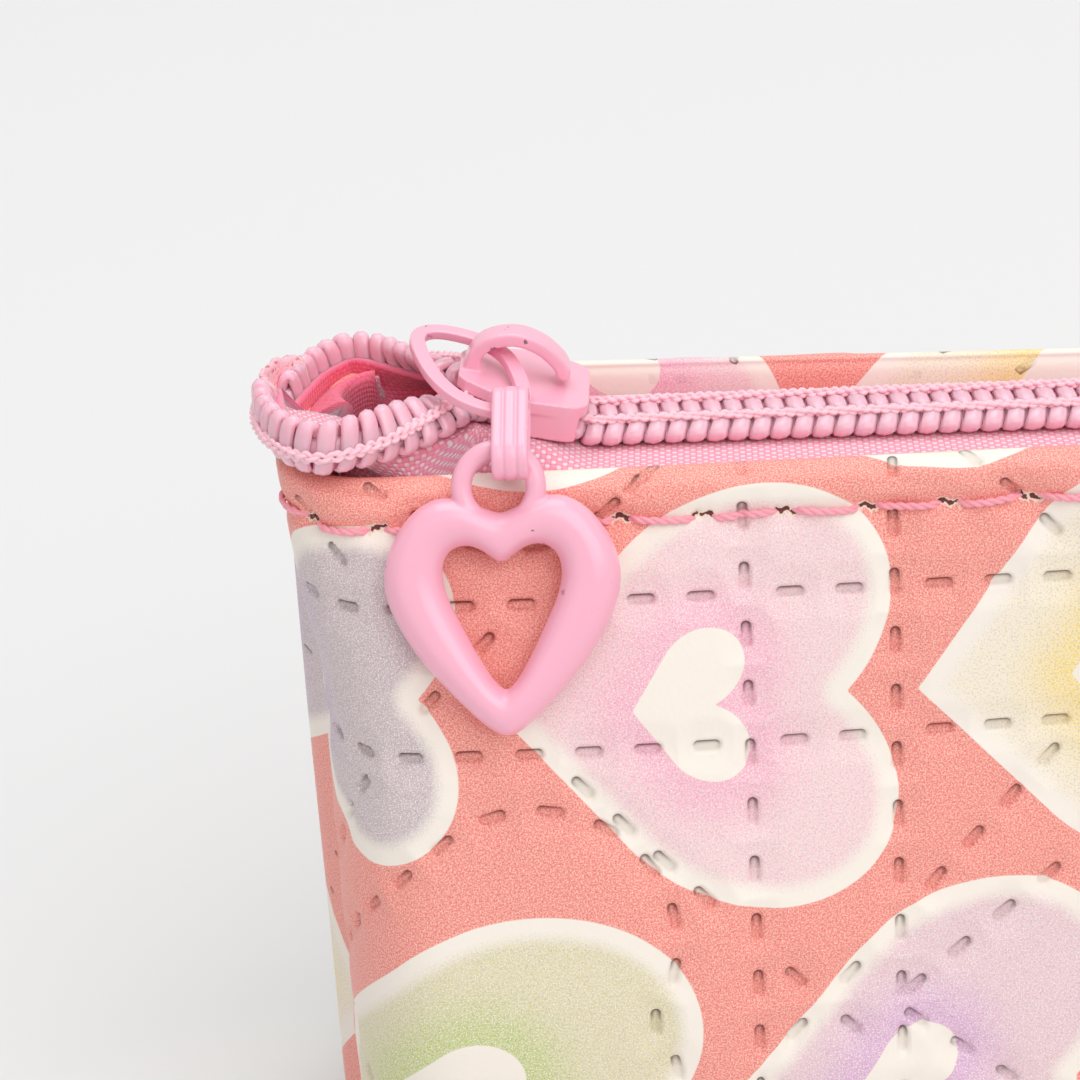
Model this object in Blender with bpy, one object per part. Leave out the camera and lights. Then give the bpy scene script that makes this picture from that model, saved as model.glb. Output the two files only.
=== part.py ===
"""A zipped pencil pouch: quilted sheet panels, lining, coil zip, slider, pull ring, link and heart charm.

Metres, +Z up. X runs along the zip, the front of the pouch faces -Y, and the origin is the middle of
the flat base's underside. The slider stands at the left (-X) end, where the zip is closed.
"""

import math

import bmesh
import bpy
import numpy as np
from mathutils import Matrix

# Pouch body
POUCH_LENGTH = 0.205
BODY_HEIGHT = 0.064
WAIST_DEPTH = 0.044
SHEET = 0.0022
CLEARANCE = 0.0003
HEM_THICKNESS = 0.0032
HEM_HEIGHT = 0.0075
HEM_STEP = 0.0006
HEM_TOP_SHARE = 0.85
END_LENGTH = 0.012
END_DRAW = 0.0009
SEAM_DIP = 0.0012
SEAM_WIDTH = 0.0035
BACK_PROUD = 0.0013
MIDDLE_SAG = 0.008
BASE_EDGE = 0.0022
LINING = 0.0005

# Zip
COIL_PITCH = 0.00147
COIL_WIDTH = 0.0030
COIL_THICKNESS = 0.0017
HEAD_GAP = 0.0003
HEAD_REACH = 0.00035
VALLEY_DEPTH = 0.0011
VALLEY_THICKNESS = 0.0011
TAPE_THICKNESS = 0.0005
TAPE_FLANGE = 0.0045
TAPE_DEPTH = 0.0015
TAPE_TUCK = 0.0010
TAPE_END = 0.0012
TAPE_FINE_END = -0.070
TAPE_SKIP = 5
ZIP_END = 0.0058
OPEN_LENGTH = 0.022
ROLL_RISE = 0.00375

# Slider, a die-cast body with an open bridge
SLIDER_LENGTH = 0.0098
SLIDER_NOSE_HALF = 0.0051
SLIDER_TAIL_HALF = 0.0044
SLIDER_PLATE = 0.0009
SLIDER_WALL = 0.0005
SLIDER_ROOM = 0.0004
SLOT = 0.0017
FLANGE_LENGTH = 0.0078
TAIL_RADIUS = 0.0018
POST_LENGTH = 0.0018
POST_HALF = 0.0009
SLIDER_TILT = math.radians(14)
BRIDGE_WIDTH = 0.0023
BRIDGE_THICKNESS = 0.00105
BRIDGE_FOOT = 0.0020
BRIDGE_RISE = 0.0030
BRIDGE_LENGTH = 0.0063
EDGE_ROUND = 0.0002

# Pull ring
RING_OVER_BODY_SHARE = 0.937
RING_OVER_SLIDER_SHARE = 2.0
RING_WIDTH = 0.0066
RING_BAR = 0.0009
RING_PLACE_SHARE = 0.20
RING_RISE_SHARE = 0.38
RING_THICKNESS = 0.0007
RING_WIDE_RADIUS = 0.0026
RING_NARROW_RADIUS = 0.0012
RING_TURN = math.radians(15)
RING_LEAN = math.radians(9.5)
RING_ROLL = math.radians(10.5)

# Link band between the ring and the charm
LINK_WIDTH = 0.0025
LINK_BAND = 0.00045
LINK_PLAY = 0.0004
LINK_DROP = 0.0044
LINK_OFFSET = 0.0005
LINK_SEAT = 0.0004
LINK_SWING = math.radians(65)

# Heart charm, with its own hanging loop
CHARM_LOBE = 0.0050
CHARM_LOBE_SPREAD = 0.0032
CHARM_HEIGHT = 0.0167
CHARM_HOLE_LOBE = 0.00235
CHARM_HOLE_SPREAD = 0.0018
CHARM_HOLE_HEIGHT = 0.0104
CHARM_TOP_RIM = 0.0036
CHARM_THICKNESS = 0.0024
LOOP_RADIUS = 0.00253
LOOP_WIRE = 0.00072
LOOP_RISE = 0.0006
CHARM_STAND_OFF = math.radians(2.56)

# How the body's width, sag, length and end change with its height, each row as shares:
# height, depth, sag, end draw, end length
PROFILE_SHARES = np.array(
    (
        (0.00, 0.900, 0.00, 1.00, 0.85),
        (0.04, 0.935, 0.08, 0.90, 0.90),
        (0.10, 0.965, 0.25, 0.80, 0.95),
        (0.20, 0.990, 0.55, 0.80, 1.00),
        (0.32, 1.000, 0.85, 0.75, 1.00),
        (0.42, 0.980, 1.00, 0.70, 1.00),
        (0.54, 0.905, 1.00, 0.60, 1.00),
        (0.66, 0.800, 0.90, 0.50, 0.97),
        (0.78, 0.685, 0.66, 0.45, 0.90),
        (0.88, 0.580, 0.42, 0.40, 0.80),
        (0.94, 0.515, 0.30, 0.25, 0.72),
        (0.97, 0.495, 0.24, 0.10, 0.68),
        (0.99, 0.468, 0.20, 0.00, 0.66),
        (1.00, 0.425, 0.19, 0.00, 0.66),
    )
)
SAG_START_SHARE = 0.93
SAG_FULL_SHARE = 0.29
END_POWER = 2.6

# The route of each row of heads round the open end: along the open length, out from the middle,
# rise, and roll from flat to upright
FRONT_ROUTE_SHARES = np.array(
    (
        (1.15, 0.0, 0.0, 0.0),
        (1.00, 0.0, 0.0, 0.0),
        (0.86, 0.015, 0.205, 0.0),
        (0.73, 0.050, 0.395, 0.0),
        (0.64, 0.095, 0.527, 0.0),
        (0.545, 0.200, 0.666, 0.03),
        (0.42, 0.480, 0.880, 0.50),
        (0.28, 0.770, 1.0, 0.94),
        (0.145, 0.858, 1.0, 1.0),
        (0.023, 0.680, 0.97, 1.0),
        (-0.060, 0.385, 0.95, 1.0),
        (-0.088, 0.090, 0.92, 1.0),
    )
)
BACK_ROUTE_SHARES = np.array(
    (
        (1.15, 0.0, 0.0, 0.0),
        (1.00, 0.0, 0.0, 0.0),
        (0.86, 0.015, 0.205, 0.0),
        (0.73, 0.050, 0.395, 0.0),
        (0.64, 0.095, 0.527, 0.0),
        (0.545, 0.200, 0.666, 0.03),
        (0.42, 0.470, 0.860, 0.50),
        (0.28, 0.750, 0.93, 0.94),
        (0.145, 0.840, 0.93, 1.0),
        (0.030, 0.640, 0.93, 1.0),
        (-0.040, 0.330, 0.93, 1.0),
        (-0.060, 0.160, 0.93, 1.0),
    )
)

# The section of a coil turn as shares of coil width and half thickness, from the head round
TURN_SHARES = np.array(((0.0, 0.0), (0.30, 1.0), (0.88, 0.94), (1.0, -0.94), (0.30, -1.0)))

# Where along the open length the two rows of heads part
OPEN_SHARE = 0.545

CORNER_STEPS = 6
STRAIGHT_STEPS = 12

HALF_LENGTH = POUCH_LENGTH / 2
HALF_WAIST = WAIST_DEPTH / 2
LEFT_END = -HALF_LENGTH
TAPE_TOP = BODY_HEIGHT - TAPE_DEPTH
HEAD_LEVEL = TAPE_TOP + CLEARANCE + COIL_THICKNESS / 2
TOP_HALF = HALF_WAIST * PROFILE_SHARES[-3, 1]
RING_LENGTH = max(TOP_HALF * RING_OVER_BODY_SHARE, SLIDER_NOSE_HALF * RING_OVER_SLIDER_SHARE)

VINYL = ("printed_vinyl", (0.93, 0.42, 0.40), 0.55, 0.0)
CLOTH = ("lining_cloth", (0.93, 0.55, 0.62), 0.85, 0.0)
TAPE = ("woven_tape", (0.95, 0.42, 0.58), 0.80, 0.0)
NYLON = ("nylon_coil", (0.97, 0.50, 0.66), 0.35, 0.0)
PAINT = ("painted_zinc", (0.94, 0.44, 0.62), 0.38, 0.0)


def clear_scene():
    for thing in list(bpy.data.objects):
        bpy.data.objects.remove(thing, do_unlink=True)


def material(spec):
    name, color, roughness, metallic = spec
    found = bpy.data.materials.get(name)
    if found:
        return found
    made = bpy.data.materials.new(name)
    made.use_nodes = True
    shader = made.node_tree.nodes["Principled BSDF"]
    shader.inputs["Base Color"].default_value = (*color, 1)
    shader.inputs["Roughness"].default_value = roughness
    shader.inputs["Metallic"].default_value = metallic
    return made


def add_object(name, mesh, spec, parent=None, smooth_angle=math.radians(40)):
    """Link a mesh as a named object with its material, shaded smooth up to an angle."""
    mesh.materials.clear()
    mesh.materials.append(material(spec))
    mesh.shade_smooth()
    mesh.set_sharp_from_angle(angle=smooth_angle)
    thing = bpy.data.objects.new(name, mesh)
    bpy.context.scene.collection.objects.link(thing)
    thing.parent = parent
    return thing


def finish_mesh(name, bm):
    """Weld what meets, turn every face outwards and return the mesh."""
    bmesh.ops.remove_doubles(bm, verts=bm.verts, dist=CLEARANCE / 100)
    bmesh.ops.dissolve_degenerate(bm, edges=bm.edges, dist=CLEARANCE / 100)
    bmesh.ops.recalc_face_normals(bm, faces=bm.faces)
    mesh = bpy.data.meshes.new(name)
    bm.to_mesh(mesh)
    bm.free()
    return mesh


def tube_mesh(name, rings, closed=False):
    """Join rings of points, an array of rings by points by 3, into a closed tube.

    An open tube has a flat cap on each end, and a closed one joins its last ring to its first.
    Each cell is split from its low corner, so that nested walls fold alike and keep their gap.
    """
    count, around = rings.shape[:2]
    bm = bmesh.new()
    verts = [[bm.verts.new(p) for p in ring] for ring in rings]
    for i in range(count if closed else count - 1):
        near, far = verts[i], verts[(i + 1) % count]
        for j in range(around):
            k = (j + 1) % around
            low, high = (j, k) if near[j].co.z <= near[k].co.z else (k, j)
            bm.faces.new((near[low], near[high], far[high]))
            bm.faces.new((near[low], far[high], far[low]))
    if not closed:
        bm.faces.new(verts[0])
        bm.faces.new(verts[-1])
    return finish_mesh(name, bm)


def smooth_curve(points, steps):
    """Read a Catmull-Rom curve through every point, with a number of steps to each span."""
    padded = np.vstack((2 * points[0] - points[1], points, 2 * points[-1] - points[-2]))
    t = np.linspace(0, 1, steps, endpoint=False)[:, None]
    spans = []
    for a, b, c, d in zip(padded, padded[1:], padded[2:], padded[3:], strict=False):
        spans.append(
            0.5 * (2 * b + (c - a) * t + (2 * a - 5 * b + 4 * c - d) * t**2
                   + (3 * b - a - 3 * c + d) * t**3)
        )
    return np.vstack((*spans, points[-1]))


def even_steps(points, distance):
    """Read a curve again at equal distances along its first three columns."""
    lengths = np.linalg.norm(np.diff(points[:, :3], axis=0), axis=1)
    along = np.concatenate(((0,), np.cumsum(lengths)))
    marks = np.arange(0, along[-1], distance)
    return np.column_stack([np.interp(marks, along, column) for column in points.T])


def profile(height, column):
    return np.interp(height / BODY_HEIGHT, PROFILE_SHARES[:, 0], PROFILE_SHARES[:, column])


def sag_share(x):
    """How far the middle of the pouch has sunk in, from none near the ends to all of it."""
    from_end = SAG_START_SHARE - np.abs(x) / HALF_LENGTH
    t = np.clip(from_end / (SAG_START_SHARE - SAG_FULL_SHARE), 0, 1)
    return t * t * (3 - 2 * t)


def plan_outline(side, height, inset, dip=1.0):
    """Half of the body's outline at a height, from the left end seam round to the right one.

    side is -1 for the front and 1 for the back, and inset is how far inside the outer face it lies.
    """
    half_depth = HALF_WAIST * profile(height, 1)
    half_length = HALF_LENGTH - END_DRAW * profile(height, 3)
    end = END_LENGTH * profile(height, 4)
    t = np.linspace(0, math.pi / 2, CORNER_STEPS + 1)
    along = 1 - np.cos(t) ** (2 / END_POWER)
    out_corner = np.sin(t) ** (2 / END_POWER)
    straight = np.linspace(-1, 1, STRAIGHT_STEPS + 1)[1:-1]
    out_share = np.concatenate((out_corner, np.ones(len(straight)), out_corner[::-1]))

    def lengthwise(length, corner):
        reach = length - corner * along
        return np.concatenate((-reach, straight * (length - corner), reach[::-1]))

    outer_x = lengthwise(half_length, end)
    outer = half_depth * out_share
    x = lengthwise(half_length - inset, end - inset / 2)
    sag = MIDDLE_SAG * profile(height, 2) * sag_share(outer_x)
    out = np.maximum((half_depth - inset - sag) * out_share, CLEARANCE / 2)
    valley = np.exp(-((outer / SEAM_WIDTH) ** 2))
    x = x - np.sign(x) * SEAM_DIP * valley * dip
    if side > 0:
        near_end = np.clip(1 - (half_length - np.abs(outer_x)) / end, 0, 1)
        below_hem = np.clip((1 - height / BODY_HEIGHT) * 8, 0, 1)
        x = x - BACK_PROUD * below_hem * (1 - valley) * near_end * (x < 0)
    return np.column_stack((x, side * out, np.full(len(x), height)))


def half_shell(name, side, rows):
    """A wall over one half of the body from rows of height and inset, taken round its section."""
    outlines = np.array([plan_outline(side, height, inset) for height, inset in rows])
    return tube_mesh(name, outlines.transpose(1, 0, 2))


def wall_levels(bottom, top):
    """The profile's heights that lie between two levels, with the levels themselves."""
    margin = SHEET / 2
    heights = PROFILE_SHARES[:, 0] * BODY_HEIGHT
    inner = heights[(heights > bottom + margin) & (heights < top - margin)]
    return [bottom, *inner, top]


def make_panels():
    bottom = SHEET + CLEARANCE
    hem_bottom = BODY_HEIGHT - HEM_HEIGHT
    outer = [(z, 0.0) for z in wall_levels(bottom, BODY_HEIGHT)]
    outer[-1:] = [(BODY_HEIGHT - HEM_STEP, 0.0), (BODY_HEIGHT, 0.0)]
    over = [
        (BODY_HEIGHT - HEM_STEP / 4, HEM_THICKNESS / 3),
        (BODY_HEIGHT - HEM_STEP * 2, HEM_THICKNESS * HEM_TOP_SHARE),
        (BODY_HEIGHT - HEM_HEIGHT / 2, HEM_THICKNESS),
        (hem_bottom, HEM_THICKNESS),
    ]
    inner = [(z, SHEET) for z in reversed(wall_levels(bottom, hem_bottom - HEM_STEP))]
    rows = outer + over + inner
    for name, side in (("front_panel", -1), ("back_panel", 1)):
        add_object(name, half_shell(name, side, rows), VINYL)


def make_linings():
    bottom = SHEET + LINING + 3 * CLEARANCE
    top = BODY_HEIGHT - HEM_HEIGHT - HEM_STEP - CLEARANCE
    levels = wall_levels(bottom, top)
    outer = [(z, SHEET + CLEARANCE) for z in levels]
    inner = [(z, SHEET + CLEARANCE + LINING) for z in reversed(levels)]
    for name, side in (("front_lining", -1), ("back_lining", 1)):
        add_object(name, half_shell(name, side, outer + inner), CLOTH)


def plate_mesh(name, rows, dip):
    """A plate over the whole plan of the body, from rows of height, level read and inset."""
    rings = []
    for height, level, inset in rows:
        front = plan_outline(-1, level, inset, dip)
        back = plan_outline(-1, level, inset, dip)[::-1]
        back[:, 1] *= -1
        ring = np.vstack((front, back))
        ring[:, 2] = height
        rings.append(ring)
    return tube_mesh(name, np.array(rings))


def make_base():
    rows = [
        (0.0, 0.0, BASE_EDGE),
        (SHEET / 6, 0.0, BASE_EDGE / 3),
        (SHEET / 2, 0.0, 0.0),
        (SHEET, 0.0, 0.0),
    ]
    add_object("base_panel", plate_mesh("base_panel", rows, 0.0), VINYL)
    low = SHEET + CLEARANCE
    inset = SHEET + CLEARANCE
    rows = [(low, low, inset), (low + LINING, low + LINING, inset)]
    add_object("base_lining", plate_mesh("base_lining", rows, 1.0), CLOTH)


def zip_route(side):
    """Points of a row of heads from the right end to its end at the left, each x, y, z and roll."""
    shares = FRONT_ROUTE_SHARES if side < 0 else BACK_ROUTE_SHARES
    x = LEFT_END + OPEN_LENGTH * shares[:, 0]
    out = HEAD_GAP / 2 + TOP_HALF * shares[:, 1]
    z = HEAD_LEVEL + ROLL_RISE * shares[:, 2]
    keys = np.column_stack((x, side * out, z, shares[:, 3] * math.pi / 2))
    start = np.array((HALF_LENGTH - ZIP_END, side * HEAD_GAP / 2, HEAD_LEVEL, 0.0))
    return np.vstack((start, smooth_curve(keys, 8)))


def zip_frames(side, distance):
    """Head points along a zip row, with the direction across the coil and the coil side's normal."""
    route = even_steps(zip_route(side), distance)
    points, roll = route[:, :3], route[:, 3:]
    heading = np.gradient(points, axis=0)
    heading[:, 2] = 0
    heading /= np.linalg.norm(heading, axis=1, keepdims=True)
    out = np.column_stack((heading[:, 1], -heading[:, 0], np.zeros(len(heading)))) * side
    up = np.array((0.0, 0.0, 1.0))
    across = np.cos(roll) * out - np.sin(roll) * up
    normal = np.sin(roll) * out + np.cos(roll) * up
    return points, across, normal, out, roll[:, 0]


def make_coils():
    """Each coil is a rod whose turns stand up as crests, half a pitch out of step across the zip."""
    for name, side in (("coil_front", -1), ("coil_back", 1)):
        points, across, normal, _, _ = zip_frames(side, COIL_PITCH / 2)
        crest = (np.arange(len(points)) + (side > 0)) % 2 == 0
        rings = []
        for share_across, share_up in TURN_SHARES:
            head = share_across == 0.0
            high = -HEAD_REACH if head else COIL_WIDTH * share_across
            low = VALLEY_DEPTH - HEAD_REACH if head else COIL_WIDTH * (0.12 + 0.8 * share_across)
            wide = np.where(crest, high, low)[:, None]
            thick = np.where(crest, COIL_THICKNESS, VALLEY_THICKNESS)[:, None] / 2 * share_up
            rings.append(points + across * wide + normal * thick)
        mesh = tube_mesh(name, np.array(rings).transpose(1, 0, 2))
        add_object(name, mesh, NYLON, smooth_angle=math.radians(60))


def make_tapes():
    """Each tape runs from under its coil to the hem's inner face, and down that face as a flange."""
    for name, side in (("zip_tape_front", -1), ("zip_tape_back", 1)):
        frames = zip_frames(side, COIL_PITCH * 1.5)
        order = np.arange(len(frames[0]))
        keep = (frames[0][:, 0] < TAPE_FINE_END) | (order % TAPE_SKIP == 0)
        rest = hem_rest(side, frames[0])[keep]
        points, across, normal, out, roll = [values[keep] for values in frames]
        share = (roll / (math.pi / 2))[:, None]
        half = TAPE_THICKNESS / 2
        under = COIL_THICKNESS / 2 + CLEARANCE + half
        edge = points + across * TAPE_TUCK - normal * under
        coil_back = points + across * (COIL_WIDTH + CLEARANCE - share * LINING) - normal * under
        corner = np.column_stack((rest, np.full(len(points), TAPE_TOP - half)))
        foot = np.column_stack((rest, np.full(len(points), TAPE_TOP - TAPE_FLANGE)))
        bend = beside_slider(side, coil_back, corner, out)
        rings = thicken(np.array((edge, coil_back, bend, corner, foot)), out, half)
        add_object(name, tube_mesh(name, rings), TAPE)


def beside_slider(side, coil_back, corner, out):
    """The line at which a tape leaves the slider's slot, or comes over the hem's folded top."""
    mouth = LEFT_END + OPEN_LENGTH * OPEN_SHARE
    inside = np.clip((coil_back[:, 0] - mouth) / COIL_WIDTH + 1, 0, 1)[:, None]
    beyond = np.sum((coil_back - corner)[:, :2] * out[:, :2], axis=1)[:, None]
    beyond = np.clip(beyond / TAPE_TUCK, 0, 1)
    over = corner.copy()
    over[:, 2] = BODY_HEIGHT + CLEARANCE + TAPE_THICKNESS / 2
    middle = (coil_back + corner) / 2
    bend = middle + (over - middle) * beyond
    slot = coil_back.copy()
    beside = SLIDER_NOSE_HALF + CLEARANCE + TAPE_THICKNESS / 2
    slot[:, 1] = side * np.minimum(beside, np.abs(corner[:, 1]))
    return bend + (slot - bend) * inside


def hem_rest(side, points):
    """For each head point, the place on the hem's inner face that its tape is sewn to.

    The tape meets the hem straight across on the closed zip, and by equal shares of length round
    the open end.
    """
    gap = 1.5 * CLEARANCE + TAPE_THICKNESS / 2
    levels = ((HEM_STEP * 2, HEM_TOP_SHARE), (HEM_HEIGHT / 2, 1.0), (HEM_HEIGHT, 1.0))
    outlines = [
        plan_outline(side, BODY_HEIGHT - down, HEM_THICKNESS * share + gap)[:, :2]
        for down, share in levels
    ]
    face = np.min(np.abs(outlines), axis=0) * np.sign(outlines[0])
    lengths = np.linalg.norm(np.diff(face, axis=0), axis=1)
    along = np.concatenate(((0,), np.cumsum(lengths)))
    first = int(np.argmin(face[:, 0]))
    mouth = LEFT_END + OPEN_LENGTH * OPEN_SHARE
    steps = np.linalg.norm(np.diff(points[:, :2], axis=0), axis=1)
    left = np.concatenate((np.cumsum(steps[::-1])[::-1], (0,)))
    straight = np.interp(points[:, 0], face[first:, 0], along[first:])
    mouth_left = np.interp(mouth, points[::-1, 0], left[::-1])
    mouth_along = np.interp(mouth, face[first:, 0], along[first:])
    turned = TAPE_END + (mouth_along - TAPE_END) * left / mouth_left
    place = np.where(points[:, 0] > mouth, straight, turned)
    return np.column_stack([np.interp(place, along, column) for column in face.T])


def thicken(stack, out, half):
    """Give a bent strip its thickness: each section goes along one face and back along the other."""
    lines = stack.transpose(1, 0, 2)
    step = np.gradient(lines, axis=1)
    flat = np.sum(step * out[:, None, :], axis=2)
    rise = step[:, :, 2]
    size = np.maximum(np.hypot(flat, rise), half / 10)
    side = (out[:, None, :] * (-rise / size)[..., None])
    side[:, :, 2] += flat / size
    return np.concatenate((lines + side * half, (lines - side * half)[:, ::-1]), axis=1)


def union(target, others):
    """Join closed bodies into the target with exact booleans, and remove what was joined."""
    for other in others:
        join = target.modifiers.new("join", "BOOLEAN")
        join.operation = "UNION"
        join.solver = "EXACT"
        join.object = other
    bpy.context.view_layer.update()
    graph = bpy.context.evaluated_depsgraph_get()
    mesh = bpy.data.meshes.new_from_object(target.evaluated_get(graph))
    target.modifiers.clear()
    target.data = mesh
    for other in others:
        bpy.data.objects.remove(other, do_unlink=True)
    return target


def prism(name, outline, low, high, spec=PAINT):
    """A plate with an outline in plan and flat faces at two levels."""
    flat = np.array(outline)
    rings = [np.column_stack((flat, np.full(len(flat), z))) for z in (low, high)]
    return add_object(name, tube_mesh(name, np.array(rings)), spec)


def slider_outline(nose_half, tail_half, start, end, radius, steps=4):
    """A plate outline that narrows from nose to tail, with round corners at the tail."""
    t = np.linspace(0, math.pi / 2, steps + 1)
    cx, cy = end - radius, tail_half - radius
    upper = np.column_stack((cx + radius * np.sin(t), cy + radius * np.cos(t)))
    nose = np.array(((start, nose_half * 0.55), (start + nose_half * 0.3, nose_half)))
    half = np.vstack((nose, upper))
    return np.vstack((half, half[::-1] * (1, -1)))


def make_slider(parent):
    """The slider in its own frame: x runs from nose to tail and z = 0 is the chain's middle plane."""
    room = COIL_THICKNESS / 2 + SLIDER_ROOM
    floor = -(COIL_THICKNESS / 2 + CLEARANCE + TAPE_THICKNESS + SLIDER_ROOM)
    roof = room + SLIDER_PLATE
    keel = floor - SLIDER_PLATE
    slot_middle = -(COIL_THICKNESS / 2 + CLEARANCE + TAPE_THICKNESS / 2)
    nose = -SLIDER_LENGTH
    outline = slider_outline(SLIDER_NOSE_HALF, SLIDER_TAIL_HALF, nose, 0.0, TAIL_RADIUS)
    top = prism("slider_body", outline, room, roof)
    bottom = prism("slider_bottom", outline, keel, floor)
    pieces = [bottom]
    for side in (-1, 1):
        for level_low, level_high in (
            (slot_middle + SLOT / 2, room + SLIDER_PLATE / 2),
            (floor - SLIDER_PLATE / 2, slot_middle - SLOT / 2),
        ):
            pieces.append(flange(side, level_low, level_high))
    overlap = SLIDER_PLATE / 2
    post = slider_outline(POST_HALF, POST_HALF * 0.4, nose + SLIDER_WALL,
                          nose + SLIDER_WALL + POST_LENGTH, POST_HALF * 0.3, steps=2)
    pieces.append(prism("slider_post", post, floor - overlap, room + overlap))
    pieces.append(bridge(nose, roof - overlap))
    body = union(top, pieces)
    body.data.name = "slider_body"
    body.data.shade_smooth()
    body.data.set_sharp_from_angle(angle=math.radians(40))
    body.parent = parent
    return body


def flange(side, low, high):
    """One side wall of the slider, which flares towards the nose as the plates do."""
    start = -FLANGE_LENGTH
    widen = (SLIDER_NOSE_HALF - SLIDER_TAIL_HALF) / SLIDER_LENGTH
    end = -TAIL_RADIUS * 0.6
    near = SLIDER_TAIL_HALF - EDGE_ROUND / 4
    far = near + widen * FLANGE_LENGTH * 0.9
    near_inside = near - TAIL_RADIUS * 0.1
    outline = (
        (start, far),
        (end, near_inside),
        (end, near_inside - SLIDER_WALL),
        (start, far - SLIDER_WALL),
    )
    points = [(x, y * side) for x, y in outline]
    return prism("slider_flange", points, low, high)


def bridge(nose, base):
    """The open bridge: a broad foot at the nose, an arch over the plate and a free, rounded end."""
    keys = np.array(
        (
            (0.00, 0.00),
            (-0.02, 0.45),
            (0.10, 0.85),
            (0.38, 1.08),
            (0.66, 1.00),
            (0.88, 0.74),
            (0.980, 0.50),
            (0.970, 0.31),
        )
    )
    path = smooth_curve(keys * (BRIDGE_LENGTH, BRIDGE_RISE), 3)
    foot_x = nose + BRIDGE_FOOT / 2
    along = np.linspace(0, 1, len(path))
    thick = BRIDGE_THICKNESS + (BRIDGE_FOOT - BRIDGE_THICKNESS) * np.clip(1 - along * 6, 0, 1) ** 2
    thick[-1] *= 0.55
    width = np.full(len(path), BRIDGE_WIDTH)
    width[-1] *= 0.7
    heading = np.gradient(path, axis=0)
    heading /= np.linalg.norm(heading, axis=1, keepdims=True)
    normal = np.column_stack((-heading[:, 1], heading[:, 0]))
    rings = []
    for share_y, share_n in rounded_section():
        offset = path + normal * (share_n * thick / 2)[:, None]
        rings.append(np.column_stack((foot_x + offset[:, 0], share_y * width / 2,
                                      base + offset[:, 1])))
    return add_object("slider_bridge", tube_mesh("slider_bridge",
                                                 np.array(rings).transpose(1, 0, 2)), PAINT)


def rounded_section():
    """The corners of a rectangle with cut corners, as shares of its half sizes."""
    return (
        (1.0, 0.6), (0.8, 1.0), (-0.8, 1.0), (-1.0, 0.6),
        (-1.0, -0.6), (-0.8, -1.0), (0.8, -1.0), (1.0, -0.6),
    )


def rounded_loop(half_x, half_y, far_radius, near_radius, steps=5):
    """A rounded rectangle round the origin, whose corners at +y and at -y have their own radii."""
    corners = (
        (1, 1, far_radius, 0.0),
        (-1, 1, far_radius, math.pi / 2),
        (-1, -1, near_radius, math.pi),
        (1, -1, near_radius, 1.5 * math.pi),
    )
    points = []
    for sx, sy, radius, start in corners:
        t = start + np.linspace(0, math.pi / 2, steps + 1)
        centre = (sx * (half_x - radius), sy * (half_y - radius))
        points.append(np.column_stack((centre[0] + radius * np.cos(t),
                                       centre[1] + radius * np.sin(t))))
    return np.vstack(points)


def make_pull_ring(parent, turn):
    """A flat stamped loop that passes under the bridge; its narrow end hangs over the front."""
    half_x = (RING_WIDTH - RING_BAR) / 2
    half_y = (RING_LENGTH - RING_BAR) / 2
    line = rounded_loop(half_x, half_y, RING_WIDE_RADIUS, RING_NARROW_RADIUS)
    heading = np.roll(line, -1, axis=0) - np.roll(line, 1, axis=0)
    heading /= np.linalg.norm(heading, axis=1, keepdims=True)
    outward = np.column_stack((heading[:, 1], -heading[:, 0]))
    rings = []
    for share_out, share_up in rounded_section():
        flat = line + outward * (share_out * RING_BAR / 2)
        rings.append(np.column_stack((flat, np.full(len(flat), share_up * RING_THICKNESS / 2))))
    mesh = tube_mesh("pull_ring", np.array(rings).transpose(1, 0, 2), closed=True)
    mesh.transform(turn)
    return add_object("pull_ring", mesh, PAINT, parent)


def make_link(parent, inner):
    """A band bent into a long loop: it goes round the ring's narrow end and the charm's loop."""
    t = np.linspace(-math.pi / 2, math.pi / 2, 9)
    arc = np.column_stack((np.sin(t), -np.cos(t)))
    lower = arc * inner + (0, -LINK_DROP)
    upper = -arc * inner
    line = np.vstack((lower, upper))
    direction = np.vstack((arc, -arc))
    half = LINK_WIDTH / 2
    groove = LINK_BAND * 0.24
    section = (
        (-half, 0.0), (-half, LINK_BAND - groove), (-half * 0.72, LINK_BAND),
        (-half * 0.36, LINK_BAND - groove), (0.0, LINK_BAND), (half * 0.36, LINK_BAND - groove),
        (half * 0.72, LINK_BAND), (half, LINK_BAND - groove), (half, 0.0),
    )
    rings = []
    for x, lift in section:
        flat = line + direction * lift
        rings.append(np.column_stack((np.full(len(flat), x), flat)))
    mesh = tube_mesh("link_band", np.array(rings).transpose(1, 0, 2), closed=True)
    mesh.transform(Matrix.Rotation(-LINK_SWING, 4, "X"))
    return add_object("link_band", mesh, PAINT, parent)


def heart_outline(lobe, spread, height, arc_steps=9, side_steps=3):
    """A heart about its lobes' level: two lobe arcs that meet in a notch and straight sides to a tip.

    It starts at the notch and goes round by the right lobe, the tip and the left lobe.
    """
    tip = lobe - height
    notch = math.pi / 2 + math.asin(spread / lobe)
    reach = math.hypot(spread, tip)
    touch = math.atan2(tip, -spread) + math.acos(lobe / reach)
    t = np.linspace(notch, touch, arc_steps + 1)
    arc = np.column_stack((spread + lobe * np.cos(t), lobe * np.sin(t)))
    down = np.linspace(arc[-1], (0.0, tip), side_steps + 1)[1:]
    right = np.vstack((arc, down))
    left = right[-2:0:-1] * (-1, 1)
    return np.vstack((right, left))


def charm_lean():
    """The charm's lean, from the slope of the front between the hem's top and the heart's tip."""
    high = BODY_HEIGHT - HEM_STEP
    low = high - CHARM_HEIGHT
    slope = math.atan2(HALF_WAIST * (profile(low, 1) - profile(high, 1)), high - low)
    return slope + CHARM_STAND_OFF


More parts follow.
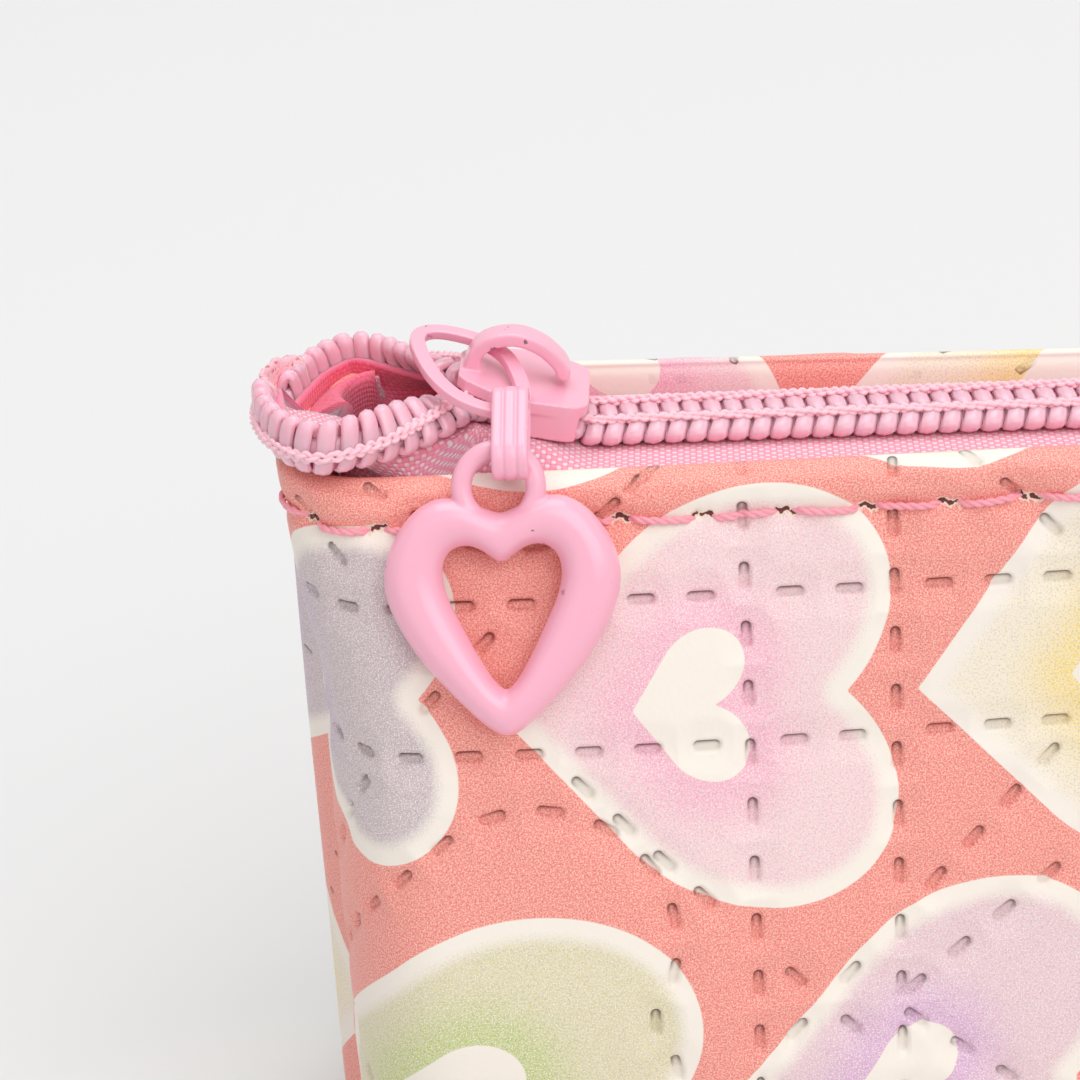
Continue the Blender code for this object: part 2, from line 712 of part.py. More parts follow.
def make_charm(parent):
    """An open heart with a rounded face and a flatter back, joined to its round hanging loop."""
    outer = heart_outline(CHARM_LOBE, CHARM_LOBE_SPREAD, CHARM_HEIGHT)
    hole = heart_outline(CHARM_HOLE_LOBE, CHARM_HOLE_SPREAD, CHARM_HOLE_HEIGHT)
    hole = hole + (0, CHARM_LOBE - CHARM_TOP_RIM - CHARM_HOLE_LOBE)
    half = CHARM_THICKNESS / 2
    section = (
        (0.0, -0.25), (0.10, 0.45), (0.28, 0.88), (0.5, 1.0), (0.72, 0.88), (0.90, 0.45),
        (1.0, -0.25), (0.88, -0.85), (0.7, -1.0), (0.3, -1.0), (0.12, -0.85),
    )
    rings = []
    for inward, face in section:
        flat = outer + (hole - outer) * inward
        rings.append(np.column_stack((flat[:, 0], np.full(len(flat), -face * half), flat[:, 1])))
    heart = tube_mesh("heart_charm", np.array(rings).transpose(1, 0, 2), closed=True)
    drop = CHARM_LOBE + LOOP_RISE + LOOP_RADIUS
    heart.transform(Matrix.Translation((0, 0, -drop)))
    body = add_object("heart_charm", heart, PAINT)
    t = np.linspace(0, 2 * math.pi, 24, endpoint=False)
    line = np.column_stack((np.cos(t), np.zeros(len(t)), np.sin(t)))
    a = np.linspace(0, 2 * math.pi, 8, endpoint=False)
    rings = [
        line * (LOOP_RADIUS + LOOP_WIRE * math.cos(v)) + (0, LOOP_WIRE * math.sin(v), -LOOP_RADIUS)
        for v in a
    ]
    loop = tube_mesh("charm_loop", np.array(rings).transpose(1, 0, 2), closed=True)
    body = union(body, [add_object("charm_loop", loop, PAINT)])
    body.data.transform(Matrix.Rotation(-charm_lean(), 4, "X"))
    body.data.name = "heart_charm"
    body.data.shade_smooth()
    body.data.set_sharp_from_angle(angle=math.radians(40))
    body.parent = parent
    return body


def empty(name, place, parent=None):
    thing = bpy.data.objects.new(name, None)
    bpy.context.scene.collection.objects.link(thing)
    thing.parent = parent
    thing.location = place
    return thing


def make_pull_chain():
    """Slider, pull ring, link and charm, each under an empty that stands on its joint's axis."""
    tail = LEFT_END + OPEN_LENGTH
    slider_axis = empty("slider_track", (tail, 0.0, HEAD_LEVEL))
    slider_axis.rotation_euler = (0.0, SLIDER_TILT, 0.0)
    make_slider(slider_axis)

    rise = COIL_THICKNESS / 2 + SLIDER_ROOM + SLIDER_PLATE + BRIDGE_RISE * RING_RISE_SHARE
    window = -SLIDER_LENGTH + BRIDGE_FOOT + BRIDGE_LENGTH * RING_PLACE_SHARE
    ring_place = (
        tail + window * math.cos(SLIDER_TILT) + rise * math.sin(SLIDER_TILT),
        0.0,
        HEAD_LEVEL - window * math.sin(SLIDER_TILT) + rise * math.cos(SLIDER_TILT),
    )
    ring_axis = empty("ring_hinge", ring_place)
    half_x = (RING_WIDTH - RING_BAR) / 2
    half_y = (RING_LENGTH - RING_BAR) / 2
    lean = Matrix.Rotation(RING_LEAN, 4, "X") @ Matrix.Rotation(RING_ROLL, 4, "Y")
    turn = (
        lean
        @ Matrix.Rotation(RING_TURN, 4, "Z")
        @ Matrix.Translation((-half_x, RING_WIDE_RADIUS - half_y, 0))
    )
    make_pull_ring(ring_axis, turn)

    bar = turn @ Matrix.Translation((LINK_OFFSET, -half_y, 0))
    bar_place = np.array(ring_place) + np.array(bar.translation)
    link_axis = empty("link_hinge", bar_place)
    make_link(link_axis, LOOP_WIRE + LINK_PLAY)

    swing = Matrix.Rotation(-LINK_SWING, 4, "X") @ Matrix.Translation((0, 0, LINK_SEAT - LINK_DROP))
    charm_axis = empty("charm_hinge", bar_place + np.array(swing.translation))
    make_charm(charm_axis)
    bpy.context.view_layer.update()
    for axis in (slider_axis, ring_axis, link_axis, charm_axis):
        print(axis.name, [round(v, 6) for v in axis.matrix_world.translation])


clear_scene()
make_panels()
make_base()
make_linings()
make_tapes()
make_coils()
make_pull_chain()
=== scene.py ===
"""The looks of a quilted pencil pouch in printed, foam-backed sheet, with a nylon coil zip and a charm."""

import math

import bpy
import numpy as np
from mathutils import Matrix, Vector


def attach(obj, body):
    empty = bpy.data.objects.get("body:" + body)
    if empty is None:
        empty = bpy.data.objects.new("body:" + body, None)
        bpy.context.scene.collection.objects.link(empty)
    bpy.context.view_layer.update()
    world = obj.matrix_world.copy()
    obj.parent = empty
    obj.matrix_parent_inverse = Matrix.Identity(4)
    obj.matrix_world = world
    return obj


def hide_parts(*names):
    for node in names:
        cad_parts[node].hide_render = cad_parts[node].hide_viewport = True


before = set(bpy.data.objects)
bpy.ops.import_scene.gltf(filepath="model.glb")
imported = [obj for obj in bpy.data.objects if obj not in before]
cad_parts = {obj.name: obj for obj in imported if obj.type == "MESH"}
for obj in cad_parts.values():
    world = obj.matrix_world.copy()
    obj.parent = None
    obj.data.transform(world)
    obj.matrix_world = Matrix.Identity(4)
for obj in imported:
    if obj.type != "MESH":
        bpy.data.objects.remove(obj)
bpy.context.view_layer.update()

# The pouch's sizes, in metres: the same values as the solids have
POUCH_LENGTH = 0.205
BODY_HEIGHT = 0.064
WAIST_DEPTH = 0.044
SHEET = 0.0022
CLEARANCE = 0.0003
HEM_THICKNESS = 0.0032
HEM_HEIGHT = 0.0075
HEM_STEP = 0.0006
END_LENGTH = 0.012
END_DRAW = 0.0009
SEAM_DIP = 0.0012
SEAM_WIDTH = 0.0035
BACK_PROUD = 0.0018
FRONT_TUCK = 0.00135
MIDDLE_SAG = 0.008
BASE_EDGE = 0.0022
LINING = 0.0005
END_POWER = 2.6
SAG_START_SHARE = 0.93
SAG_FULL_SHARE = 0.29
PROUD_SLOPE = 8
TUCK_DOWN = 0.0080
TUCK_FADE = 0.0085
HALF_LENGTH = POUCH_LENGTH / 2
HALF_WAIST = WAIST_DEPTH / 2
LEFT_END = -HALF_LENGTH

# Where the shown body differs from the solids: its hems' folds and closed chain stand a little
# lower or higher, and the front hem's left end further out, each over a height or length of its own
FRONT_HEM_DROP = 0.0007
BACK_HEM_RISE = 0.0004
SHIFT_FROM = 0.050
SHIFT_FADE = 0.011
SHIFT_END = 0.004
HEM_LEFT = 0.0006
HEM_LEFT_FROM = 0.054
HEM_LEFT_FADE = 0.008
CHAIN_DROP = 0.00045
DROP_FROM_SHARE = 0.8
DROP_FADE = 0.005

# The zip
COIL_PITCH = 0.00147
COIL_WIDTH = 0.0030
COIL_THICKNESS = 0.0017
HEAD_GAP = 0.0003
TAPE_THICKNESS = 0.0005
TAPE_FLANGE = 0.0045
TAPE_DEPTH = 0.0015
TAPE_TUCK = 0.0010
TAPE_END = 0.0012
ZIP_END = 0.0058
OPEN_LENGTH = 0.022
OPEN_SHARE = 0.545
ROLL_RISE = 0.00375
SLIDER_NOSE_HALF = 0.0051
TAPE_TOP = BODY_HEIGHT - TAPE_DEPTH
HEAD_LEVEL = TAPE_TOP + CLEARANCE + COIL_THICKNESS / 2
HEADING_REACH = 0.0006
MOUTH = LEFT_END + OPEN_LENGTH * OPEN_SHARE

# The body's width, sag, length and end at each height, as shares
PROFILE_SHARES = np.array([
    (0.00, 0.900, 0.00, 1.00, 0.85),
    (0.04, 0.935, 0.08, 0.90, 0.90),
    (0.10, 0.965, 0.25, 0.80, 0.95),
    (0.20, 0.990, 0.55, 0.80, 1.00),
    (0.32, 1.000, 0.85, 0.75, 1.00),
    (0.42, 0.980, 1.00, 0.70, 1.00),
    (0.54, 0.905, 1.00, 0.60, 1.00),
    (0.66, 0.800, 0.90, 0.50, 0.97),
    (0.78, 0.685, 0.66, 0.45, 0.90),
    (0.88, 0.580, 0.42, 0.40, 0.80),
    (0.94, 0.515, 0.30, 0.25, 0.72),
    (0.97, 0.495, 0.24, 0.10, 0.68),
    (0.99, 0.468, 0.20, 0.00, 0.66),
    (1.00, 0.425, 0.19, 0.00, 0.66),
])
TOP_HALF = HALF_WAIST * PROFILE_SHARES[-3, 1]

# Each row of heads round the open end: along, out, rise and roll, as shares
ROUTE_START = [
    (1.15, 0.0, 0.0, 0.0), (1.00, 0.0, 0.0, 0.0), (0.86, 0.015, 0.205, 0.0),
    (0.73, 0.050, 0.395, 0.0), (0.64, 0.095, 0.527, 0.0), (0.545, 0.200, 0.666, 0.03),
]
FRONT_ROUTE_SHARES = np.array(ROUTE_START + [
    (0.42, 0.480, 0.880, 0.50), (0.29, 0.770, 0.98, 0.94), (0.170, 0.858, 0.96, 1.0),
    (0.056, 0.680, 0.97, 1.02), (-0.020, 0.385, 1.00, 1.08), (-0.048, 0.090, 1.00, 1.10),
])
BACK_ROUTE_SHARES = np.array(ROUTE_START + [
    (0.42, 0.470, 0.800, 0.50), (0.30, 0.750, 0.76, 0.94), (0.185, 0.840, 0.72, 1.0),
    (0.085, 0.640, 0.68, 1.0), (0.030, 0.330, 0.66, 1.0), (0.010, 0.160, 0.66, 1.0),
])


def smooth_curve(points, steps):
    """A Catmull-Rom curve through every point, with a number of steps to each span."""
    padded = np.vstack((2 * points[0] - points[1], points, 2 * points[-1] - points[-2]))
    t = np.linspace(0, 1, steps, endpoint=False)[:, None]
    spans = []
    for a, b, c, d in zip(padded, padded[1:], padded[2:], padded[3:]):
        spans.append(0.5 * (2 * b + (c - a) * t + (2 * a - 5 * b + 4 * c - d) * t**2
                            + (3 * b - a - 3 * c + d) * t**3))
    return np.vstack((*spans, points[-1]))


def lengths_along(points):
    """How far each point lies along its line, from 0 at the first one."""
    return np.concatenate(((0,), np.cumsum(np.linalg.norm(np.diff(points, axis=0), axis=1))))


def read_at(marks, along, rows):
    """Rows read at the marks, where along says how far along its line each row lies."""
    return np.column_stack([np.interp(marks, along, column) for column in rows.T])


def unit(rows):
    """Each row as a direction of length 1."""
    return rows / np.maximum(np.linalg.norm(rows, axis=-1, keepdims=True), 1e-12)


FINE_PROFILE = smooth_curve(PROFILE_SHARES, 12)


def profile(height, column):
    """One of the profile's shares at a height, on a smooth curve through the table's rows."""
    return np.interp(height / BODY_HEIGHT, FINE_PROFILE[:, 0], FINE_PROFILE[:, column])


def smooth_step(t):
    """0 below 0, 1 above 1 and 3t^2 - 2t^3 between."""
    t = np.clip(t, 0, 1)
    return t * t * (3 - 2 * t)


def sag_share(x):
    """How far the middle of the pouch has sunk in, from none near the ends to all of it."""
    from_end = SAG_START_SHARE - np.abs(x) / HALF_LENGTH
    return smooth_step(from_end / (SAG_START_SHARE - SAG_FULL_SHARE))


def corner_curve(angle):
    """A superellipse's quarter at each angle: its shares of the end's length and of the depth."""
    return 1 - np.cos(angle) ** (2 / END_POWER), np.sin(angle) ** (2 / END_POWER)


def columns_of(corner_steps, straight):
    """Where a wall's columns stand: a corner's two shares, evenly apart, and the straight run's."""
    angle = np.linspace(0, math.pi / 2, corner_steps + 1)
    along, out = corner_curve(angle)
    length = np.concatenate(((0,), np.cumsum(np.hypot(np.diff(along), np.diff(out)))))
    even = np.interp(np.linspace(0, length[-1], corner_steps + 1), length, angle)
    return *corner_curve(even), straight


def outline_points(side, height, inset, columns, dip=1.0):
    """Points of half the body's outline: a superellipse corner, a straight run and a corner.

    height and inset are arrays of one shape, and the result has that shape by columns by 3.
    x = length - corner * along, less the seam's valley, and y = (half depth - inset - sag) * out.
    At the left end the back then stands further out below its hem, and the front further in.
    """
    height, inset = (np.asarray(v, float)[..., None] for v in (height, inset))
    along, out_corner, straight = columns
    half_depth = HALF_WAIST * profile(height, 1)
    half_length = HALF_LENGTH - END_DRAW * profile(height, 3)
    end = END_LENGTH * profile(height, 4)
    out_share = np.concatenate((out_corner, np.ones(len(straight)), out_corner[::-1]))

    def lengthwise(length, corner):
        """x along a row: the left corner, the straight run and the right corner."""
        reach = length - corner * along
        return np.concatenate((-reach, straight * (length - corner), reach[..., ::-1]), axis=-1)

    outer_x = lengthwise(half_length, end)
    x = lengthwise(half_length - inset, end - inset / 2)
    sag = MIDDLE_SAG * profile(height, 2) * sag_share(outer_x)
    out = np.maximum((half_depth - inset - sag) * out_share, CLEARANCE / 2)
    valley = np.exp(-((half_depth * out_share / SEAM_WIDTH) ** 2))
    x = x - np.sign(x) * SEAM_DIP * valley * dip
    near_end = np.clip(1 - (half_length - np.abs(outer_x)) / end, 0, 1) * (x < 0)
    if side > 0:
        below_hem = np.clip((1 - height / BODY_HEIGHT) * PROUD_SLOPE, 0, 1)
        x = x - BACK_PROUD * below_hem * (1 - valley) * near_end
    else:
        below_hem = smooth_step((BODY_HEIGHT - TUCK_DOWN - height) / TUCK_FADE)
        x = x + FRONT_TUCK * below_hem * near_end
        x = x - HEM_LEFT * smooth_step((height - HEM_LEFT_FROM) / HEM_LEFT_FADE) * near_end
    shift = BACK_HEM_RISE if side > 0 else -FRONT_HEM_DROP
    inwards = smooth_step((HALF_LENGTH - np.abs(outer_x)) / SHIFT_END)
    level = height + shift * smooth_step((height - SHIFT_FROM) / SHIFT_FADE) * inwards
    return np.stack((x, side * out, level), axis=-1)


def grid_part(grid, closed=False):
    """A tube from an array of points, rows by columns by 3, as its points and its arrays of faces.

    Its rows wrap round into the tube. Row i, column j is vertex i * columns + j, each cell is a
    quad, and an open tube has a fan over each end, while a closed one joins its last column to its
    first.
    """
    rows, cols = grid.shape[:2]
    index = np.arange(rows * cols).reshape(rows, cols)
    near = np.vstack((index, index[:1]))
    if closed:
        near = np.hstack((near, near[:, :1]))
    quads = np.stack((near[:-1, :-1], near[:-1, 1:], near[1:, 1:], near[1:, :-1]), -1).reshape(-1, 4)
    verts = grid.reshape(-1, 3)
    faces = [quads]
    if not closed:
        for column, turn in ((0, 1), (cols - 1, -1)):
            hub = len(verts)
            verts = np.vstack((verts, grid[:, column].mean(0)))
            ring = index[:, column]
            faces.append(np.stack((ring, np.roll(ring, -1), np.full(rows, hub)), -1)[:, ::turn])
    return verts, faces


def joined(parts):
    """The points and faces of several parts as one."""
    verts, faces, count = [], [], 0
    for points, shapes in parts:
        verts.append(points)
        faces += [shape + count for shape in shapes]
        count += len(points)
    return np.vstack(verts), faces


def ring_angles(count):
    """Angles round a section, for a grid's rows, before its columns and x, y and z."""
    return np.linspace(0, 2 * math.pi, count, endpoint=False)[:, None, None]


def tube_part(line, radius, sides):
    """A round tube along an open line of points, with one direction of its section level."""
    ahead = np.roll(line, -1, axis=0) - np.roll(line, 1, axis=0)
    ahead[0], ahead[-1] = line[1] - line[0], line[-1] - line[-2]
    ahead = unit(ahead)
    side = unit(np.cross(ahead, (0.0, 0.0, 1.0)))
    angle = ring_angles(sides)
    return grid_part(line + radius * (np.cos(angle) * side + np.sin(angle) * np.cross(side, ahead)))


def moved(part, matrix):
    """A part after a 4 by 4 matrix."""
    m = np.array(matrix)
    return part[0] @ m[:3, :3].T + m[:3, 3], part[1]


def turned_out(part):
    """A part with its faces turned outwards."""
    verts, faces = part
    total = 0.0
    for shape in faces:
        a = verts[shape[:, 0]]
        for k in range(1, shape.shape[1] - 1):
            total += np.einsum("ij,ij->", a, np.cross(verts[shape[:, k]], verts[shape[:, k + 1]]))
    if total < 0:
        faces = [shape[:, ::-1] for shape in faces]
    return verts, faces


def build_mesh(name, part):
    """A smooth-shaded mesh from a part's points and faces, turned to face outwards."""
    verts, faces = part
    mesh = bpy.data.meshes.new(name)
    counts = np.concatenate([np.full(len(f), f.shape[1]) for f in faces])
    loops = np.concatenate([f.ravel() for f in faces])
    mesh.vertices.add(len(verts))
    mesh.vertices.foreach_set("co", np.asarray(verts, np.float32).ravel())
    mesh.loops.add(len(loops))
    mesh.loops.foreach_set("vertex_index", loops.astype(np.int32))
    mesh.polygons.add(len(counts))
    starts = np.concatenate(((0,), np.cumsum(counts)[:-1]))
    mesh.polygons.foreach_set("loop_start", starts.astype(np.int32))
    mesh.update(calc_edges=True)
    mesh.validate()
    if signed_volume(mesh) < 0:
        mesh.flip_normals()
    mesh.shade_smooth()
    return mesh


def signed_volume(mesh):
    """Sum of the tetrahedra between the origin and each triangle, above 0 if it faces outwards."""
    mesh.calc_loop_triangles()
    co = np.zeros(len(mesh.vertices) * 3, np.float32)
    mesh.vertices.foreach_get("co", co)
    tri = np.zeros(len(mesh.loop_triangles) * 3, np.int32)
    mesh.loop_triangles.foreach_get("vertices", tri)
    a, b, c = co.reshape(-1, 3)[tri.reshape(-1, 3)].astype(float).transpose(1, 0, 2)
    return float(np.einsum("ij,ij->i", a, np.cross(b, c)).sum())


def add_piece(name, mesh, material, body, slot, *replaced):
    """Link a mesh as a piece that rides on a body and stands for the named nodes."""
    piece = bpy.data.objects.new(name, mesh)
    bpy.context.scene.collection.objects.link(piece)
    mesh.materials.clear()
    mesh.materials.append(material)
    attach(piece, body)
    if replaced:
        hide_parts(*replaced)
    return piece


def set_attribute(mesh, name, values):
    """Keep one number for each vertex under a name, which a material's Attribute node reads."""
    full = np.zeros(len(mesh.vertices), np.float32)
    full[: values.size] = values.ravel()
    mesh.attributes.new(name, "FLOAT", "POINT").data.foreach_set("value", full)


def set_color(mesh, name, values):
    """Keep one colour for each vertex, linear, under a name."""
    full = np.ones((len(mesh.vertices), 4), np.float32)
    flat = values.reshape(-1, 3)
    full[: len(flat), :3] = flat
    mesh.attributes.new(name, "FLOAT_COLOR", "POINT").data.foreach_set("color", full.ravel())


def set_uv(mesh, name, uv):
    """A UV map from one pair of numbers for each vertex."""
    full = np.zeros((len(mesh.vertices), 2), np.float32)
    flat = uv.reshape(-1, 2)
    full[: len(flat)] = flat
    loops = np.zeros(len(mesh.loops), np.int32)
    mesh.loops.foreach_get("vertex_index", loops)
    layer = mesh.uv_layers.new(name=name)
    layer.data.foreach_set("uv", full[loops].ravel())


def linear(code):
    """Turn an sRGB hex colour to linear red, green and blue."""
    parts = np.array([int(code[i : i + 2], 16) for i in (1, 3, 5)]) / 255
    return np.where(parts <= 0.04045, parts / 12.92, ((parts + 0.055) / 1.055) ** 2.4)


def node(tree, kind, settings=None, **inputs):
    """Add a node of a kind, set its properties and give each named input a value or a link.

    An input that is named i and a number is the socket at that place.
    """
    made = tree.nodes.new("ShaderNode" + kind)
    for key, value in (settings or {}).items():
        setattr(made, key, value)
    for key, value in inputs.items():
        socket = made.inputs[int(key[1:]) if key[1:].isdigit() else key.replace("_", " ")]
        if isinstance(value, bpy.types.NodeSocket):
            tree.links.new(value, socket)
        elif socket.type == "RGBA" and len(value) == 3:
            socket.default_value = (*value, 1)
        else:
            socket.default_value = value
    return made


def new_material(name, **values):
    """A material with one Principled BSDF whose sockets take the given values, its tree and shader."""
    made = bpy.data.materials.new(name)
    made.use_nodes = True
    shader = made.node_tree.nodes["Principled BSDF"]
    for key, value in values.items():
        socket = shader.inputs[key.replace("_", " ")]
        socket.default_value = (*value, 1) if socket.type == "RGBA" else value
    return made, made.node_tree, shader


# Camera: stands above the front of the slider end, and is rolled a little
CAMERA_AZIMUTH = math.radians(3.1)
CAMERA_ELEVATION = math.radians(25)
CAMERA_ROLL = math.radians(3.3)
SENSOR = 36
FOCAL_PX = 3140
FRAME_PX = 1080
ANCHOR = Vector((-0.077, 0.0, 0.0641))
ANCHOR_PX = (640, 408.5)
ANCHOR_DEPTH = 0.222


def make_camera():
    """The camera that sees the anchor point at the anchor pixel, from the set angles and depth."""
    a, e = CAMERA_AZIMUTH, CAMERA_ELEVATION
    back = Vector((math.sin(a) * math.cos(e), -math.cos(a) * math.cos(e), math.sin(e)))
    turn = (-back).to_track_quat("-Z", "Y") @ Matrix.Rotation(-CAMERA_ROLL, 3, "Z").to_quaternion()
    right, up = turn @ Vector((1, 0, 0)), turn @ Vector((0, 1, 0))
    u = (ANCHOR_PX[0] - FRAME_PX / 2) / FOCAL_PX * ANCHOR_DEPTH
    v = (FRAME_PX / 2 - ANCHOR_PX[1]) / FOCAL_PX * ANCHOR_DEPTH
    camera = bpy.data.objects.new("camera", bpy.data.cameras.new("camera"))
    bpy.context.scene.collection.objects.link(camera)
    camera.data.sensor_width = SENSOR
    camera.data.lens = SENSOR * FOCAL_PX / FRAME_PX
    camera.data.clip_start, camera.data.clip_end = 0.01, 20
    camera.rotation_mode = "QUATERNION"
    camera.rotation_quaternion = turn
    camera.location = ANCHOR + back * ANCHOR_DEPTH - right * u - up * v
    bpy.context.scene.camera = camera


# Panels

def spaced(low, high, step):
    """Numbers from low to high, about a step apart, without the last one."""
    return np.linspace(low, high, max(2, int(round((high - low) / step)) + 1))[:-1]


# Steps of the panels' grids: columns seen close and further off, then rows seen close, low ones
# and hidden ones, and where the close ones start and stop
SEEN_COLUMN = 0.00016
FAR_COLUMN = 0.0004
COARSE_COLUMN = 0.0006
SEEN_ROW = 0.00017
LOW_ROW = 0.0004
INNER_ROW = 0.0024
STRAIGHT_HALF = 0.0925
SEEN_TO = -0.42
SEEN_ABOVE = 0.024
FOLD_ABOVE = 0.0628

FINE_COLUMNS = columns_of(64, np.concatenate((
    spaced(-1, SEEN_TO, SEEN_COLUMN / STRAIGHT_HALF)[1:], spaced(SEEN_TO, 1, FAR_COLUMN / STRAIGHT_HALF))))
COARSE_COLUMNS = columns_of(30, spaced(-1, 1, COARSE_COLUMN / STRAIGHT_HALF)[1:])


def panel_section():
    """The closed section of a panel as (height, inset): up its outer face, over the fold, down inside."""
    bottom = SHEET + CLEARANCE
    hem_bottom = BODY_HEIGHT - HEM_HEIGHT
    outside = np.concatenate((
        spaced(bottom, SEEN_ABOVE, LOW_ROW), spaced(SEEN_ABOVE, FOLD_ABOVE, SEEN_ROW)))
    fold = smooth_curve(np.array([
        (FOLD_ABOVE, 0.0),
        (BODY_HEIGHT - HEM_STEP, 0.0),
        (BODY_HEIGHT - HEM_STEP * 0.15, HEM_THICKNESS * 0.10),
        (BODY_HEIGHT, HEM_THICKNESS * 0.22),
        (BODY_HEIGHT - HEM_STEP * 0.5, HEM_THICKNESS * 0.48),
        (BODY_HEIGHT - HEM_STEP * 2, HEM_THICKNESS * 0.80),
        (BODY_HEIGHT - HEM_HEIGHT / 2, HEM_THICKNESS),
        (hem_bottom + HEM_STEP, HEM_THICKNESS),
        (hem_bottom, HEM_THICKNESS * 0.95),
        (hem_bottom - HEM_STEP, SHEET),
        (hem_bottom - HEM_STEP * 3, SHEET),
    ]), 5)[:-1]
    inside = spaced(bottom, hem_bottom - HEM_STEP * 3, INNER_ROW)[::-1]
    return np.vstack((np.column_stack((outside, np.zeros(len(outside)))), fold,
                      np.column_stack((inside, np.full(len(inside), SHEET)))))


CLOTH_ORIGIN = -0.060


def cloth_places(grid, top_row):
    """Where each point lies on the flat cloth: (along the row, down from the fold), in millimetres.

    Along a row it is the row's own length, equal to x at the cloth's origin; down a column it is the
    length of the section from the fold's top, above 0 on the outer face and below 0 on the inner one.
    """
    along = np.linalg.norm(np.diff(grid, axis=1), axis=2)
    along = np.concatenate((np.zeros((len(grid), 1)), np.cumsum(along, axis=1)), axis=1)
    start = np.array([np.interp(CLOTH_ORIGIN, row[:, 0], length) for row, length in zip(grid, along)])
    along = along - start[:, None] + CLOTH_ORIGIN
    down = np.linalg.norm(np.diff(grid, axis=0), axis=2)
    down = np.concatenate((np.zeros((1, grid.shape[1])), np.cumsum(down, axis=0)), axis=0)
    down = down[top_row] - down
    return np.stack((along, down), axis=-1) * 1000


def grid_normals(grid, outward):
    """The normal at each point of a grid whose rows wrap round, on the side that outward is on.

    It is the cross product of the steps down and along, and a point midway up the outer face tells
    its side.
    """
    down = np.roll(grid, -1, axis=0) - np.roll(grid, 1, axis=0)
    along = np.gradient(grid, axis=1)
    normal = unit(np.cross(down, along))
    middle = normal[len(grid) // 4, grid.shape[1] // 2]
    return normal * np.sign(np.dot(middle, outward))


def soft_noise(u, v, scale, seed):
    """A smooth random value from -1 to 1 over two coordinates, as a sum of eight turned waves."""
    total = np.zeros(np.broadcast(u, v).shape)
    for i in range(8):
        angle = seed * 1.7 + i * 2.399
        size = scale * (0.7 + 0.09 * ((i * 5 + seed * 3) % 8))
        total += np.sin((u * math.cos(angle) + v * math.sin(angle)) * 2 * math.pi / size + i * 1.3 + seed)
    return total / 8


# Quilting, in millimetres on the cloth: a tile with two rows, two columns, crosses and a heart
TILE = np.array((49.4, 50.4))
TILE_MIDDLE = np.array((-65.0, 15.15))
ROW_APART = 5.3
COLUMN_APART = 5.15
ROW_DASHES = (2.05, 8.2, 12.3, 16.4, 20.5)
COLUMN_STARTS = (-10.8, -14.0)
COLUMN_DASHES = 12
CROSS_DASHES = (2.8, 11.8, 15.7)
CROSS_SHIFT = np.array((-0.5, -0.6))
HEART_DASHED = (4.0, 6.0, 9.9, 9.9, 0.0, -20.2)
DASH_PITCH = 4.12
DASH_LENGTH = 1.95
DASH_WIDTH = 0.74
DASH_DEEP = 0.46
DASH_EDGE = 0.26
FAR = 9.0
PUCKER_DEEP = 0.28
PUCKER_REACH = 1.9
STITCH_DOWN = 4.2
STITCH_PITCH = 5.6
STITCH_LENGTH = 4.7
SLIT_HALF = 0.62

# How deep the topstitching draws the sheet in, and how far to both sides: all along, close to the
# slits and in each slit; then how deep and far apart the sheet's slow waves are
STITCH_PULL = (0.24, 1.3)
NEEDLE_PULL = (0.20, 2.2)
SLIT_PULL = (0.22, 0.5)
WAVES = (0.14, 13)

# Rows beyond the fold's top that still belong to the outer face
FOLD_ROWS = 12


def quilt_dashes():
    """The dashes of one tile as rows of (along, down, cosine, sine)."""
    found = []
    for down in (-ROW_APART, ROW_APART):
        for place in ROW_DASHES:
            found += [(place, down, 1, 0), (-place, down, 1, 0)]
        found.append((TILE[0] / 2, down, 1, 0))
    for along, start in zip((-COLUMN_APART, COLUMN_APART), COLUMN_STARTS):
        found += [(along, start + TILE[1] / COLUMN_DASHES * k, 0, 1) for k in range(COLUMN_DASHES)]
    for cross in ((0, TILE[1] / 2), (-TILE[0] / 2, 0)):
        for signs in ((1, 1), (1, -1), (-1, 1), (-1, -1)):
            way = TILE * signs / np.hypot(*TILE)
            found += [(*(cross + CROSS_SHIFT + way * length), *way) for length in CROSS_DASHES]
    outline = heart_shape(*HEART_DASHED)
    outline = np.vstack((outline, outline[:1]))
    length = lengths_along(outline)
    count = int(round(length[-1] / DASH_PITCH))
    for mark in (np.arange(count) + 0.5) * length[-1] / count:
        a, b = read_at((mark - 0.5, mark + 0.5), length, outline)
        found.append((*((a + b) / 2 + TILE * (-0.5, 0.5)), *unit(b - a)))
    return np.array(found)


def quilting(place):
    """Distance to the nearest dash's edge, below 0 inside it, and the place in it from top to foot.

    Both are given for each place on the cloth, the distance in millimetres and the other from 1 at
    the dash's upper end or edge to -1 at its lower one.
    """
    flat = place.reshape(-1, 2) - TILE_MIDDLE
    best = np.full(len(flat), FAR)
    upper = np.zeros(len(flat))
    for along, down, c, s in quilt_dashes():
        rel = (flat - (along, down) + TILE / 2) % TILE - TILE / 2
        reach = np.maximum(np.abs(rel[:, 0] * c + rel[:, 1] * s) - (DASH_LENGTH - DASH_WIDTH) / 2, 0)
        away = np.hypot(reach, rel[:, 0] * s - rel[:, 1] * c)
        half = abs(s) * DASH_LENGTH / 2 + abs(c) * DASH_WIDTH / 2
        upper = np.where(away < best, np.clip(-rel[:, 1] / half, -1, 1), upper)
        best = np.minimum(best, away)
    shape = place.shape[:-1]
    return (best - DASH_WIDTH / 2).reshape(shape), upper.reshape(shape)


